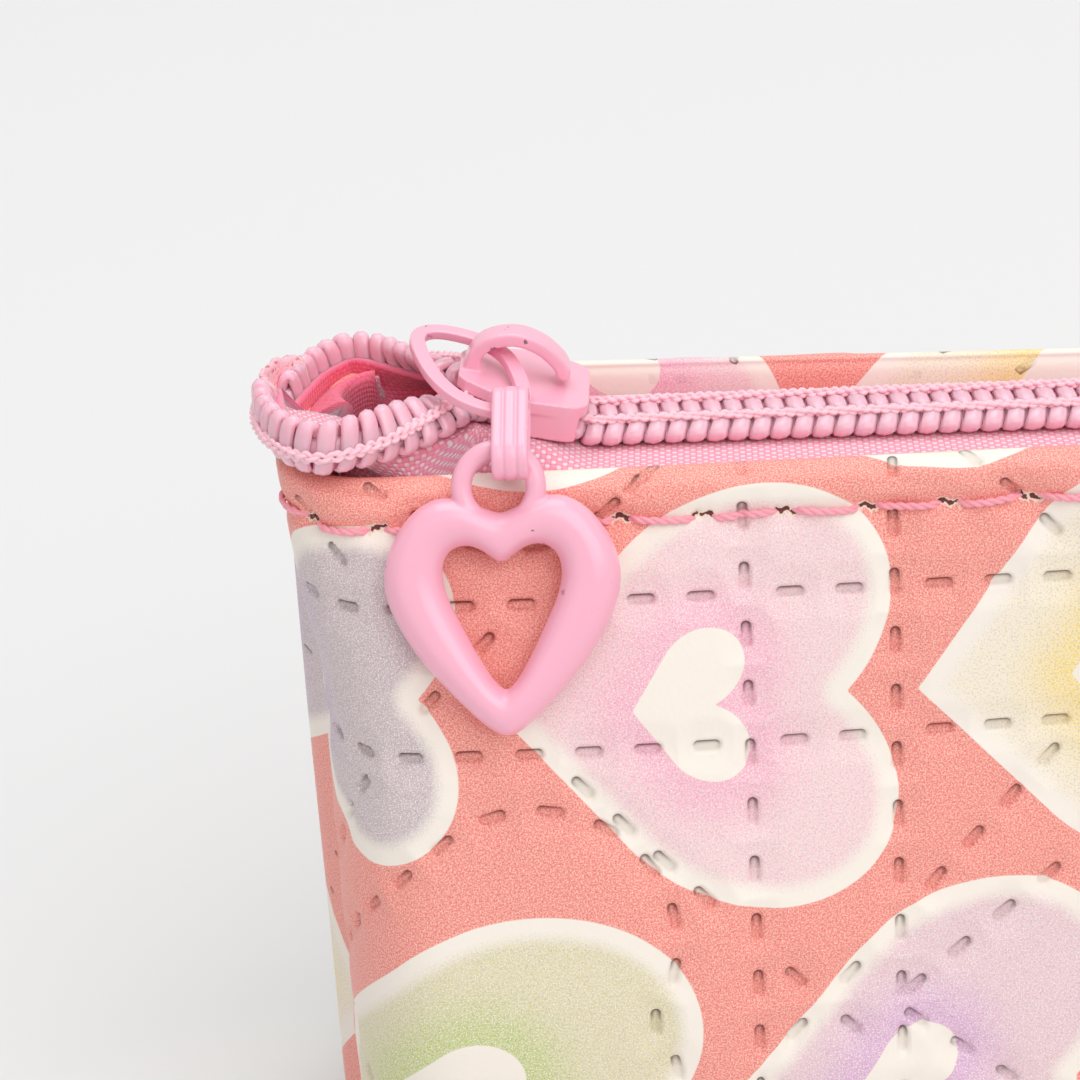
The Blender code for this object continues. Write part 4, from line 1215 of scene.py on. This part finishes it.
def loop_part(line, half_wide, half_high, count=36):
    """A closed flat bar along a loop in plan, with a rounded rectangular section."""
    heading = unit(np.roll(line, -2, axis=0) - np.roll(line, 2, axis=0))
    outward = np.column_stack((heading[:, 1], -heading[:, 0]))
    rings = []
    for share_out, share_up in superellipse(count, 7.0):
        flat = line + outward * (share_out * half_wide)
        rings.append(np.column_stack((flat, np.full(len(flat), share_up * half_high))))
    return grid_part(np.array(rings), closed=True)


def chain_places():
    """The matrices of the pull ring, the link and the charm at rest, as the solids have them."""
    rise = COIL_THICKNESS / 2 + SLIDER_ROOM + SLIDER_PLATE + BRIDGE_RISE * RING_RISE_SHARE
    window = -SLIDER_LENGTH + BRIDGE_FOOT + BRIDGE_LENGTH * RING_PLACE_SHARE
    place = Vector((
        LEFT_END + OPEN_LENGTH + window * math.cos(SLIDER_TILT) + rise * math.sin(SLIDER_TILT),
        0.0,
        HEAD_LEVEL - window * math.sin(SLIDER_TILT) + rise * math.cos(SLIDER_TILT),
    ))
    half_x = (RING_WIDTH - RING_BAR) / 2
    half_y = (RING_LENGTH - RING_BAR) / 2
    ring = (Matrix.Translation(place) @ Matrix.Rotation(RING_LEAN, 4, "X")
            @ Matrix.Rotation(RING_ROLL, 4, "Y") @ Matrix.Rotation(RING_TURN, 4, "Z")
            @ Matrix.Translation((-half_x, RING_WIDE_RADIUS - half_y, 0)))
    bar = (ring @ Matrix.Translation((LINK_OFFSET, -half_y, 0))).translation
    link = Matrix.Translation(bar) @ Matrix.Rotation(-LINK_SWING, 4, "X")
    hang = (link @ Matrix.Translation((0, 0, LINK_SEAT - LINK_DROP))).translation
    charm = Matrix.Translation(hang) @ Matrix.Rotation(-CHARM_LEAN, 4, "X")
    return ring, link, charm


# The pull ring's middle line in its own plane, in millimetres: broad under the bridge, narrow at
# the link, and the bar's half width as a share of the solid's width
RING_OUTLINE = np.array([
    (-3.40, 3.4), (-2.85, 5.1), (-1.3, 5.45), (1.0, 4.3), (2.5, 2.3), (2.88, -0.4), (2.65, -3.2),
    (1.7, -4.7), (0.1, -4.85), (-1.9, -3.3), (-3.1, -0.4),
])
RING_HALF_SHARE = 0.60


def make_ring(place, material):
    """The stamped pull ring: a flat bar along its closed outline."""
    line = smooth_curve(np.vstack((RING_OUTLINE[-1:], RING_OUTLINE, RING_OUTLINE[:2])), 12)[12:-13] / 1000
    bar = loop_part(line, RING_BAR * RING_HALF_SHARE, RING_THICKNESS / 2)
    mesh = build_mesh("pull_ring_loop", moved(bar, place))
    add_piece("pull_ring_loop", mesh, material, "ring", "painted_zinc", "pull_ring")


# The link's two grooves, as shares of its half width and band: their places, width and depth
GROOVES = (-0.36, 0.34)
GROOVE_WIDE = 0.11
GROOVE_DEEP = 0.24


def make_link(place, material):
    """The link: a band bent into a long loop, with two soft grooves along its outer face."""
    inner = LOOP_WIRE + LINK_PLAY
    t = np.linspace(-math.pi / 2, math.pi / 2, 41)
    arc = np.column_stack((np.sin(t), -np.cos(t)))
    run = np.linspace(0, 1, 14)[1:-1, None]
    low, high = arc * inner + (0, -LINK_DROP), -arc * inner
    line = np.vstack((low, low[-1] + (high[0] - low[-1]) * run, high, high[-1] + (low[0] - high[-1]) * run))
    side = np.tile(arc[-1], (len(run), 1))
    direction = np.vstack((arc, side, -arc, -side))
    half = LINK_WIDTH / 2
    x = np.linspace(-1, 1, 41)
    groove = LINK_BAND * GROOVE_DEEP * sum(np.exp(-(((x - at) / GROOVE_WIDE) ** 2)) for at in GROOVES)
    edge = LINK_BAND * 0.5 * np.abs(x) ** 14
    outer = np.column_stack((x * half, LINK_BAND - groove - edge))
    inside = np.column_stack((x[::-4] * half, np.zeros(len(x[::-4]))))
    rings = []
    for across, lift in np.vstack((outer, inside)):
        flat = line + direction * lift
        rings.append(np.column_stack((np.full(len(flat), across + LINK_ASIDE), flat)))
    mesh = build_mesh("link_loop", moved(grid_part(np.array(rings), closed=True), place))
    add_piece("link_loop", mesh, material, "link", "painted_zinc", "link_band")


# Half of the charm's outline and of its hole, from the top middle to the tip, in millimetres
CHARM_OUTLINE = np.array([
    (0.0, 3.9), (1.3, 4.35), (2.6, 4.85), (3.9, 5.0), (5.05, 4.65), (6.15, 3.85), (7.1, 2.6), (7.8, 1.15),
    (8.08, -0.3), (7.92, -1.85), (7.35, -3.35), (6.55, -4.85), (5.5, -6.35), (4.3, -7.8), (3.0, -9.2),
    (1.75, -10.4), (0.8, -11.1), (0.0, -11.35),
])
CHARM_HOLE = np.array([
    (0.0, 0.55), (0.35, 0.62), (0.85, 0.98), (1.5, 1.42), (2.3, 1.68), (3.1, 1.55), (3.7, 1.05), (4.0, 0.2),
    (3.98, -0.85), (3.62, -2.05), (3.05, -3.3), (2.42, -4.6), (1.72, -5.95), (0.95, -7.25), (0.35, -7.95),
    (0.0, -8.15),
])


def charm_outline(half, steps=90):
    """A closed outline of even points from half of it: a smooth curve through its rows, mirrored."""
    mirror = half[1] * (-1, 1)
    line = smooth_curve(np.vstack((mirror, half, half[-2] * (-1, 1))), 12)[12:-12]
    length = lengths_along(line)
    right = read_at(np.linspace(0, length[-1], steps + 1), length, line) / 1000
    right[0, 0] = right[-1, 0] = 0.0
    return np.vstack((right, right[-2:0:-1] * (-1, 1)))


# The charm's section: how far in from its outline to its hole, and its face in half thicknesses
CHARM_SECTION = np.array([
    (0.0, -0.25), (0.10, 0.45), (0.28, 0.88), (0.5, 1.0), (0.72, 0.88), (0.90, 0.45),
    (1.0, -0.25), (0.88, -0.85), (0.7, -1.0), (0.3, -1.0), (0.12, -0.85), (0.0, -0.25),
])


def make_charm(place, material):
    """The open heart with a rounded face, joined to its round hanging loop."""
    outer, hole = charm_outline(CHARM_OUTLINE), charm_outline(CHARM_HOLE)
    half = CHARM_THICKNESS / 2
    rings = []
    for inward, face in smooth_curve(CHARM_SECTION, 4)[:-1]:
        flat = outer + (hole - outer) * inward
        rings.append(np.column_stack((flat[:, 0], np.full(len(flat), -face * half), flat[:, 1])))
    heart, heart_faces = grid_part(np.array(rings), closed=True)
    heart = heart - (0, 0, CHARM_LOBE + LOOP_RISE + LOOP_RADIUS)
    t = np.linspace(0, 2 * math.pi, 96, endpoint=False)
    line = np.column_stack((np.cos(t), np.zeros(len(t)), np.sin(t)))
    a = np.linspace(0, 2 * math.pi, 24, endpoint=False)
    rings = [line * (LOOP_RADIUS + LOOP_WIRE * math.cos(v)) + (0, LOOP_WIRE * math.sin(v), -LOOP_RADIUS)
             for v in a]
    loop = grid_part(np.array(rings), closed=True)
    verts, faces = moved(joined([turned_out((heart, heart_faces)), turned_out(loop)]), place)
    mesh = remeshed("charm_casting", (verts + (0, 0, CHARM_UP), faces), *CHARM_SKIN)
    add_piece("charm_casting", mesh, material, "charm", "painted_zinc", "heart_charm")


def make_base(material, lining):
    """The flat base sheet with a rounded edge, and its lining, as rows of (height, level, inset)."""
    t = np.linspace(-math.pi / 2, math.pi / 2, 11)
    edge = [(SHEET / 2 + SHEET / 2 * math.sin(v), 0.0, SHEET / 2 * (1 - math.cos(v))) for v in t]
    rows = [(0.0, 0.0, BASE_EDGE)] + edge + [(SHEET, 0.0, BASE_EDGE)]
    plate(rows, 0.0, "base_sheet", material, "printed_vinyl", "base_panel")
    low = SHEET + CLEARANCE
    top = low + LINING
    rows = [(low, low, low + SHEET), (low, low, low), (top, low, low), (top, low, low + SHEET)]
    plate(rows, 1.0, "base_cloth", lining, "lining_cloth", "base_lining")


# What the sheet's attributes are where nothing is printed on it or pressed in
PLAIN_CLOTH = {"heart": -FAR, "middle": -FAR, "dash": FAR, "slit": FAR}


def plate(rows, dip, name, material, slot, replaced):
    """A plate over the whole plan, from rows of height, level read and inset, up its edge."""
    rings = []
    for height, level, inset in rows:
        front = outline_points(-1, [level], [inset], COARSE_COLUMNS, dip)[0]
        ring = np.vstack((front, front[::-1] * (1, -1, 1)))
        ring[:, 2] = height
        rings.append(ring)
    grid = np.array(rings).transpose(1, 0, 2)
    mesh = build_mesh(name, grid_part(grid))
    set_uv(mesh, "cloth", grid[..., :2] * 1000)
    for key, value in PLAIN_CLOTH.items():
        set_attribute(mesh, key, np.full(len(mesh.vertices), value))
    add_piece(name, mesh, material, "pouch", slot, replaced)


def make_linings(material, rows=40):
    """The lining cloths of the front and the back, each a thin wall inside its panel."""
    bottom = SHEET + LINING + 3 * CLEARANCE
    top = BODY_HEIGHT - HEM_HEIGHT - HEM_STEP - CLEARANCE
    levels = np.linspace(bottom, top, rows)
    height = np.concatenate((levels, levels[::-1]))
    inset = np.repeat((SHEET + CLEARANCE, SHEET + CLEARANCE + LINING), rows)
    for name, side in (("front_lining", -1), ("back_lining", 1)):
        grid = outline_points(side, height, inset, COARSE_COLUMNS)
        mesh = build_mesh(name + "_cloth", grid_part(grid))
        set_uv(mesh, "cloth", cloth_places(grid, rows - 1))
        add_piece(name + "_cloth", mesh, material, "pouch", "lining_cloth", name)


# Each topstitch: how deep its ends sink and how far it rises from there, how far it runs askew, how
# thick each ply is, how far the plies stand from the middle line and how often they turn round it
STITCH_SUNK = 0.00035
STITCH_RISE = 0.00062
STITCH_ASKEW = 0.00016
STITCH_PLY = 0.00017
STITCH_PLY_WIDE = 0.00014
STITCH_PLY_HIGH = 0.00010
STITCH_TURNS = 3.2


def make_topstitch(name, grid, place, normal, material):
    """A row of twisted two-ply stitches along the hem, each end sunk into the sheet.

    They follow the outer face's row that is nearest to the topstitching's distance from the fold.
    """
    outer = place[: int(np.argmax(grid[:, 0, 2])) + 1, grid.shape[1] // 2, 1]
    row = int(np.argmin(np.abs(outer - STITCH_DOWN)))
    along = place[row, :, 0]
    line, up = grid[row], normal[row]
    across = unit(np.roll(grid, -1, axis=0)[row] - grid[row])
    parts = []
    t = np.linspace(0, 1, 26)
    high = STITCH_RISE * (1 - np.abs(2 * t - 1) ** 4) - STITCH_SUNK
    for k in range(math.ceil((along[0] + 3) / STITCH_PITCH), math.floor((along[-1] - 3) / STITCH_PITCH)):
        where = (k + 0.5) * STITCH_PITCH + STITCH_LENGTH * (t - 0.5)
        middle, out, side = (read_at(where, along, rows) for rows in (line, up, across))
        askew = STITCH_ASKEW * math.sin(k * 2.3) * (2 * t - 1)
        middle = middle + out * high[:, None] + side * askew[:, None]
        for ply in (0, math.pi):
            twist = t * 2 * math.pi * STITCH_TURNS + ply + k
            thread = (middle + side * (STITCH_PLY_WIDE * np.cos(twist))[:, None]
                      + out * (STITCH_PLY_HIGH * np.sin(twist))[:, None])
            parts.append(tube_part(thread, STITCH_PLY, 7))
    add_piece(name, build_mesh(name, joined(parts)), material, "pouch", "woven_tape")


# Materials

def simple_material(name, code, **values):
    """A plain material of one colour."""
    return new_material(name, Base_Color=linear(code), **values)[0]


def blend(tree, share, first, second, kind="MIX"):
    """A mix of two colours by a share."""
    made = node(tree, "Mix", {"data_type": "RGBA", "blend_type": kind}, i0=share, i6=first, i7=second)
    return made.outputs[2]


def ramp(tree, value, low, high, to_low=0.0, to_high=1.0, soft=False):
    """A value carried from one range to another and held at its ends."""
    kind = {"interpolation_type": "SMOOTHSTEP"} if soft else {}
    made = node(tree, "MapRange", kind, Value=value, From_Min=low, From_Max=high,
                To_Min=to_low, To_Max=to_high)
    return made.outputs[0]


def maths(tree, kind, *values):
    """The result of one sum on values or links."""
    return node(tree, "Math", {"operation": kind}, **{f"i{i}": v for i, v in enumerate(values)}).outputs[0]


def spread(tree, value, reach):
    """A noise value round 0, from -reach / 2 to reach / 2."""
    return maths(tree, "MULTIPLY_ADD", value, reach, -reach / 2)


def grains(tree, uv, scale, detail=1.0):
    """Fine noise on the cloth, in grains of 1 / scale millimetres."""
    made = node(tree, "TexNoise", {"noise_dimensions": "2D"}, Vector=uv, Scale=scale, Detail=detail,
                Roughness=0.6)
    return made.outputs["Fac"]


def place_noise(tree, scale, detail):
    """Noise by place in the object."""
    place = node(tree, "TexCoord").outputs["Object"]
    return node(tree, "TexNoise", Vector=place, Scale=scale, Detail=detail).outputs["Fac"]


def kept(tree, name, output="Fac"):
    """What a mesh keeps for each vertex under a name."""
    return node(tree, "Attribute", {"attribute_name": name}).outputs[output]


def cloth_uv(tree, name):
    """A place on the cloth in millimetres, along and down."""
    return node(tree, "UVMap", {"uv_map": name}).outputs["UV"]


def give_face(tree, shader, color, height, strength, distance, **settings):
    """Give a shader its colour and the fine relief of its face."""
    tree.links.new(color, shader.inputs["Base Color"])
    bump = node(tree, "Bump", settings, Strength=strength, Distance=distance, Height=height)
    tree.links.new(bump.outputs["Normal"], shader.inputs["Normal"])


def vinyl_material():
    """Printed, foam-backed sheet with a satin face.

    The eye gets airbrushed hearts on coral, built from fine grains of ink, cream rims and middles,
    dashes where the quilting is pressed in, with a slightly darker pressed tone and painted shade under
    their upper rim, and slits between the topstitches, with a pale torn edge and a core painted dark as
    shade.
    """
    made, tree, shader = new_material("printed_foam_backed_sheet", Roughness=0.46, Specular_IOR_Level=0.35)
    heart, middle = kept(tree, "heart"), kept(tree, "middle")
    dash, upper, slit = kept(tree, "dash"), kept(tree, "upper"), kept(tree, "slit")
    tint, haze = kept(tree, "tint", "Color"), kept(tree, "haze", "Color")
    uv = cloth_uv(tree, "cloth")
    ink, other = grains(tree, uv, 8.6), grains(tree, uv, 6.9)
    cream = linear("#F6EDE2")

    # Coral ground, with paler and deeper grains
    ground = blend(tree, ramp(tree, ink, 0.46, 0.60, 0, 0.9), linear("#F38F89"), linear("#FBC8B2"))
    ground = blend(tree, ramp(tree, other, 0.54, 0.64, 0, 0.62), ground, linear("#DE6B6C"))

    # A heart's fill: strong colour close to its middle, haze further out, cream and grey grains
    close = maths(tree, "POWER", ramp(tree, middle, -6.5, 0.0, soft=True), 1.6)
    close = maths(tree, "ADD", close, maths(tree, "MULTIPLY", close, spread(tree, other, 1.6)))
    fill = blend(tree, ramp(tree, close, 0.0, 1.0), haze, tint)
    fill = blend(tree, ramp(tree, ink, 0.50, 0.61, 0, 0.85), fill, cream)
    fill = blend(tree, ramp(tree, other, 0.54, 0.66, 0, 0.34), fill, linear("#A79CB8"))

    # Its cream rim, with a grainy inner edge, and its cream middle
    depth = ramp(tree, heart, 0.8, 2.3, soft=True)
    edge = maths(tree, "ADD", depth, spread(tree, ink, 2.6))
    filled = maths(tree, "MULTIPLY", ramp(tree, edge, 0.0, 1.0), ramp(tree, depth, 0.0, 0.1))
    fill = blend(tree, filled, cream, fill)
    fill = blend(tree, ramp(tree, middle, -0.04, 0.04), fill, cream)
    color = blend(tree, ramp(tree, heart, -0.04, 0.04), ground, fill)

    # Dashes: a slightly darker pressed tone inside, and painted shade that is darkest under their upper rim
    rim = maths(tree, "MULTIPLY", ramp(tree, dash, -0.34, -0.10), ramp(tree, upper, -0.1, 0.8, 0, 0.78))
    shade = maths(tree, "MULTIPLY", ramp(tree, dash, 0.04, -0.04), maths(tree, "ADD", rim, 0.10))
    color = blend(tree, shade, color, linear("#5E4448"), "MULTIPLY")

    # Slits between the topstitches, with a pale torn edge and a dark red core that is painted shade in the
    # opening
    torn = maths(tree, "ADD", slit, spread(tree, grains(tree, uv, 2.4), 0.5))
    color = blend(tree, ramp(tree, torn, 0.32, 0.26), color, linear("#F0DCC8"))
    color = blend(tree, ramp(tree, torn, 0.17, 0.12), color, linear("#6B2B2E"))
    give_face(tree, shader, color, grains(tree, uv, 2.6, 4.0), 0.35, 0.00006)
    return made


# Two yarns along the tape and across it, in millimetres
WARP_STEP = 0.86
WEFT_STEP = 0.70

# How far red, green and blue light go in dyed pink polymer, as shares
PINK_DEPTH = (1.0, 0.35, 0.45)


def woven_material():
    """Woven polyester tape with a low sheen: darker yarns and paler ones cross over small deep gaps.

    The yarns' height is |sin(along) * sin(down)|, and its sign tells which yarn lies on top. The paler
    colour of the yarn on top is a painted highlight on its floats, and the gaps are painted darker as
    shade. Painted shade also turns the tape's inner face deep pink down in the zip's mouth.
    """
    made, tree, shader = new_material(
        "woven_polyester_tape", Roughness=0.6, Specular_IOR_Level=0.3, Sheen_Weight=0.25,
        Subsurface_Weight=0.45, Subsurface_Radius=PINK_DEPTH, Subsurface_Scale=0.0010)
    part = node(tree, "SeparateXYZ", Vector=cloth_uv(tree, "weave"))
    along, down = (maths(tree, "SINE", maths(tree, "MULTIPLY", part.outputs[i], 2 * math.pi / step))
                   for i, step in enumerate((WARP_STEP, WEFT_STEP)))
    over = maths(tree, "MULTIPLY", along, down)
    high = maths(tree, "ABSOLUTE", over)
    # Painted highlight: the yarn on top is paler on its floats
    yarn = blend(tree, ramp(tree, over, -0.45, 0.6), linear("#FFA9BF"), linear("#FFE3EA"))
    # Painted shade: the gaps between the yarns are darker
    color = blend(tree, ramp(tree, high, 0.0, 0.45), linear("#F78FAA"), yarn)
    # Painted shade: deep pink on the tape's inner face, down in the zip's mouth
    color = blend(tree, maths(tree, "MULTIPLY", kept(tree, "mouth"), 0.85), color, linear("#F4587A"))
    give_face(tree, shader, color, high, 0.7, 0.00010)
    return made


def frayed_material():
    """The melted, fuzzy cut of the tapes: pale pink, with painted shade in deep red in the small pits
    between its fibres.
    """
    made, tree, shader = new_material("frayed_tape_ends", Roughness=0.7, Sheen_Weight=0.3)
    pits = grains(tree, cloth_uv(tree, "weave"), 3.4, 3.0)
    # Painted shade: the pits between the fibres are deep red
    color = blend(tree, ramp(tree, pits, 0.60, 0.66), linear("#FFC4CE"), linear("#D8626C"))
    give_face(tree, shader, color, pits, 0.8, 0.00015, invert=True)
    return made


def paint_material():
    """Painted zinc casting: even satin gloss with a slight orange peel and a few chips."""
    made, tree, shader = new_material(
        "painted_die_casting", Roughness=0.30, Coat_Weight=0.35, Coat_Roughness=0.12)
    spots, area = place_noise(tree, 1400.0, 1.0), place_noise(tree, 260.0, 1.0)
    chip = maths(tree, "MULTIPLY", ramp(tree, spots, 0.70, 0.73), ramp(tree, area, 0.56, 0.6))
    color = blend(tree, chip, linear("#F9B2C8"), linear("#8E6A72"))
    give_face(tree, shader, color, place_noise(tree, 520.0, 2.0), 0.25, 0.00008)
    return made


VINYL = vinyl_material()
WOVEN = woven_material()
FRAYED = frayed_material()
PAINT = paint_material()
# Pale, glossy and a little translucent, so that the eye gets deep pink from its depths
NYLON = simple_material(
    "nylon_monofilament", "#FFBAC9", Roughness=0.22, Coat_Weight=0.25,
    Subsurface_Weight=0.75, Subsurface_Radius=PINK_DEPTH, Subsurface_Scale=0.0014)
# Matt woven lining, and twisted threads with a faint sheen
LINING_CLOTH = simple_material("lining_cloth", "#F2647F", Roughness=0.85)
THREAD = simple_material("sewing_thread", "#FFCDD9", Roughness=0.6, Sheen_Weight=0.2)
STITCHING = simple_material("topstitch_thread", "#FBA6B4", Roughness=0.6, Sheen_Weight=0.2)

front = make_panel("front_sheet", "front_panel", -1, FINE_COLUMNS, VINYL)
back = make_panel("back_sheet", "back_panel", 1, COARSE_COLUMNS, VINYL)
make_base(VINYL, LINING_CLOTH)
make_linings(LINING_CLOTH)
make_coils(NYLON)
make_coil_threads(THREAD)
make_tapes(WOVEN)
make_tape_end(FRAYED)
make_topstitch("front_topstitch", *front, STITCHING)
make_topstitch("back_topstitch", *back, STITCHING)
make_slider(PAINT)
ring_place, link_place, charm_place = chain_places()
make_ring(ring_place, PAINT)
make_link(link_place, PAINT)
make_charm(charm_place, PAINT)


# Stage

def make_stage():
    """A plain pale floor, a pale background and soft studio lamps.

    The world lights the object at a low level, while the camera and what is glossy or clear see it
    pale.
    """
    bpy.ops.mesh.primitive_plane_add(size=6, location=(0, 0, 0))
    floor = bpy.context.object
    floor.name = "floor"
    paper = simple_material("floor_paper", "#E7E7E7", Roughness=0.9, Specular_IOR_Level=0.25)
    floor.data.materials.append(paper)
    world = bpy.data.worlds.new("studio")
    bpy.context.scene.world = world
    world.use_nodes = True
    tree = world.node_tree
    tree.nodes.clear()
    path = node(tree, "LightPath").outputs
    shown = path["Is Camera Ray"]
    for ray in ("Is Glossy Ray", "Is Transmission Ray"):
        shown = maths(tree, "MAXIMUM", shown, path[ray])
    seen = node(tree, "Background", Color=(*linear("#EEEEEE"), 1), Strength=1.0).outputs[0]
    fill = node(tree, "Background", Color=(1, 1, 1, 1), Strength=0.385).outputs[0]
    mix = node(tree, "MixShader", i0=shown, i1=fill, i2=seen).outputs[0]
    output = node(tree, "OutputWorld")
    tree.links.new(mix, output.inputs["Surface"])
    for name, place, target, size, power in (
        ("key", (0.9, -1.3, 1.7), (-0.07, 0, 0.05), 2.2, 32.0),
        ("fill", (-1.2, -1.6, 0.9), (-0.07, 0, 0.04), 1.8, 4.4),
        ("top", (-0.1, 0.5, 2.0), (-0.07, 0, 0.04), 1.6, 20.0),
    ):
        lamp = bpy.data.objects.new(name, bpy.data.lights.new(name, "AREA"))
        bpy.context.scene.collection.objects.link(lamp)
        lamp.data.size = size
        lamp.data.energy = power
        lamp.location = place
        aim = Vector(target) - Vector(place)
        lamp.rotation_euler = aim.to_track_quat("-Z", "Y").to_euler()


make_stage()
make_camera()
bpy.context.scene.view_settings.view_transform = "Standard"
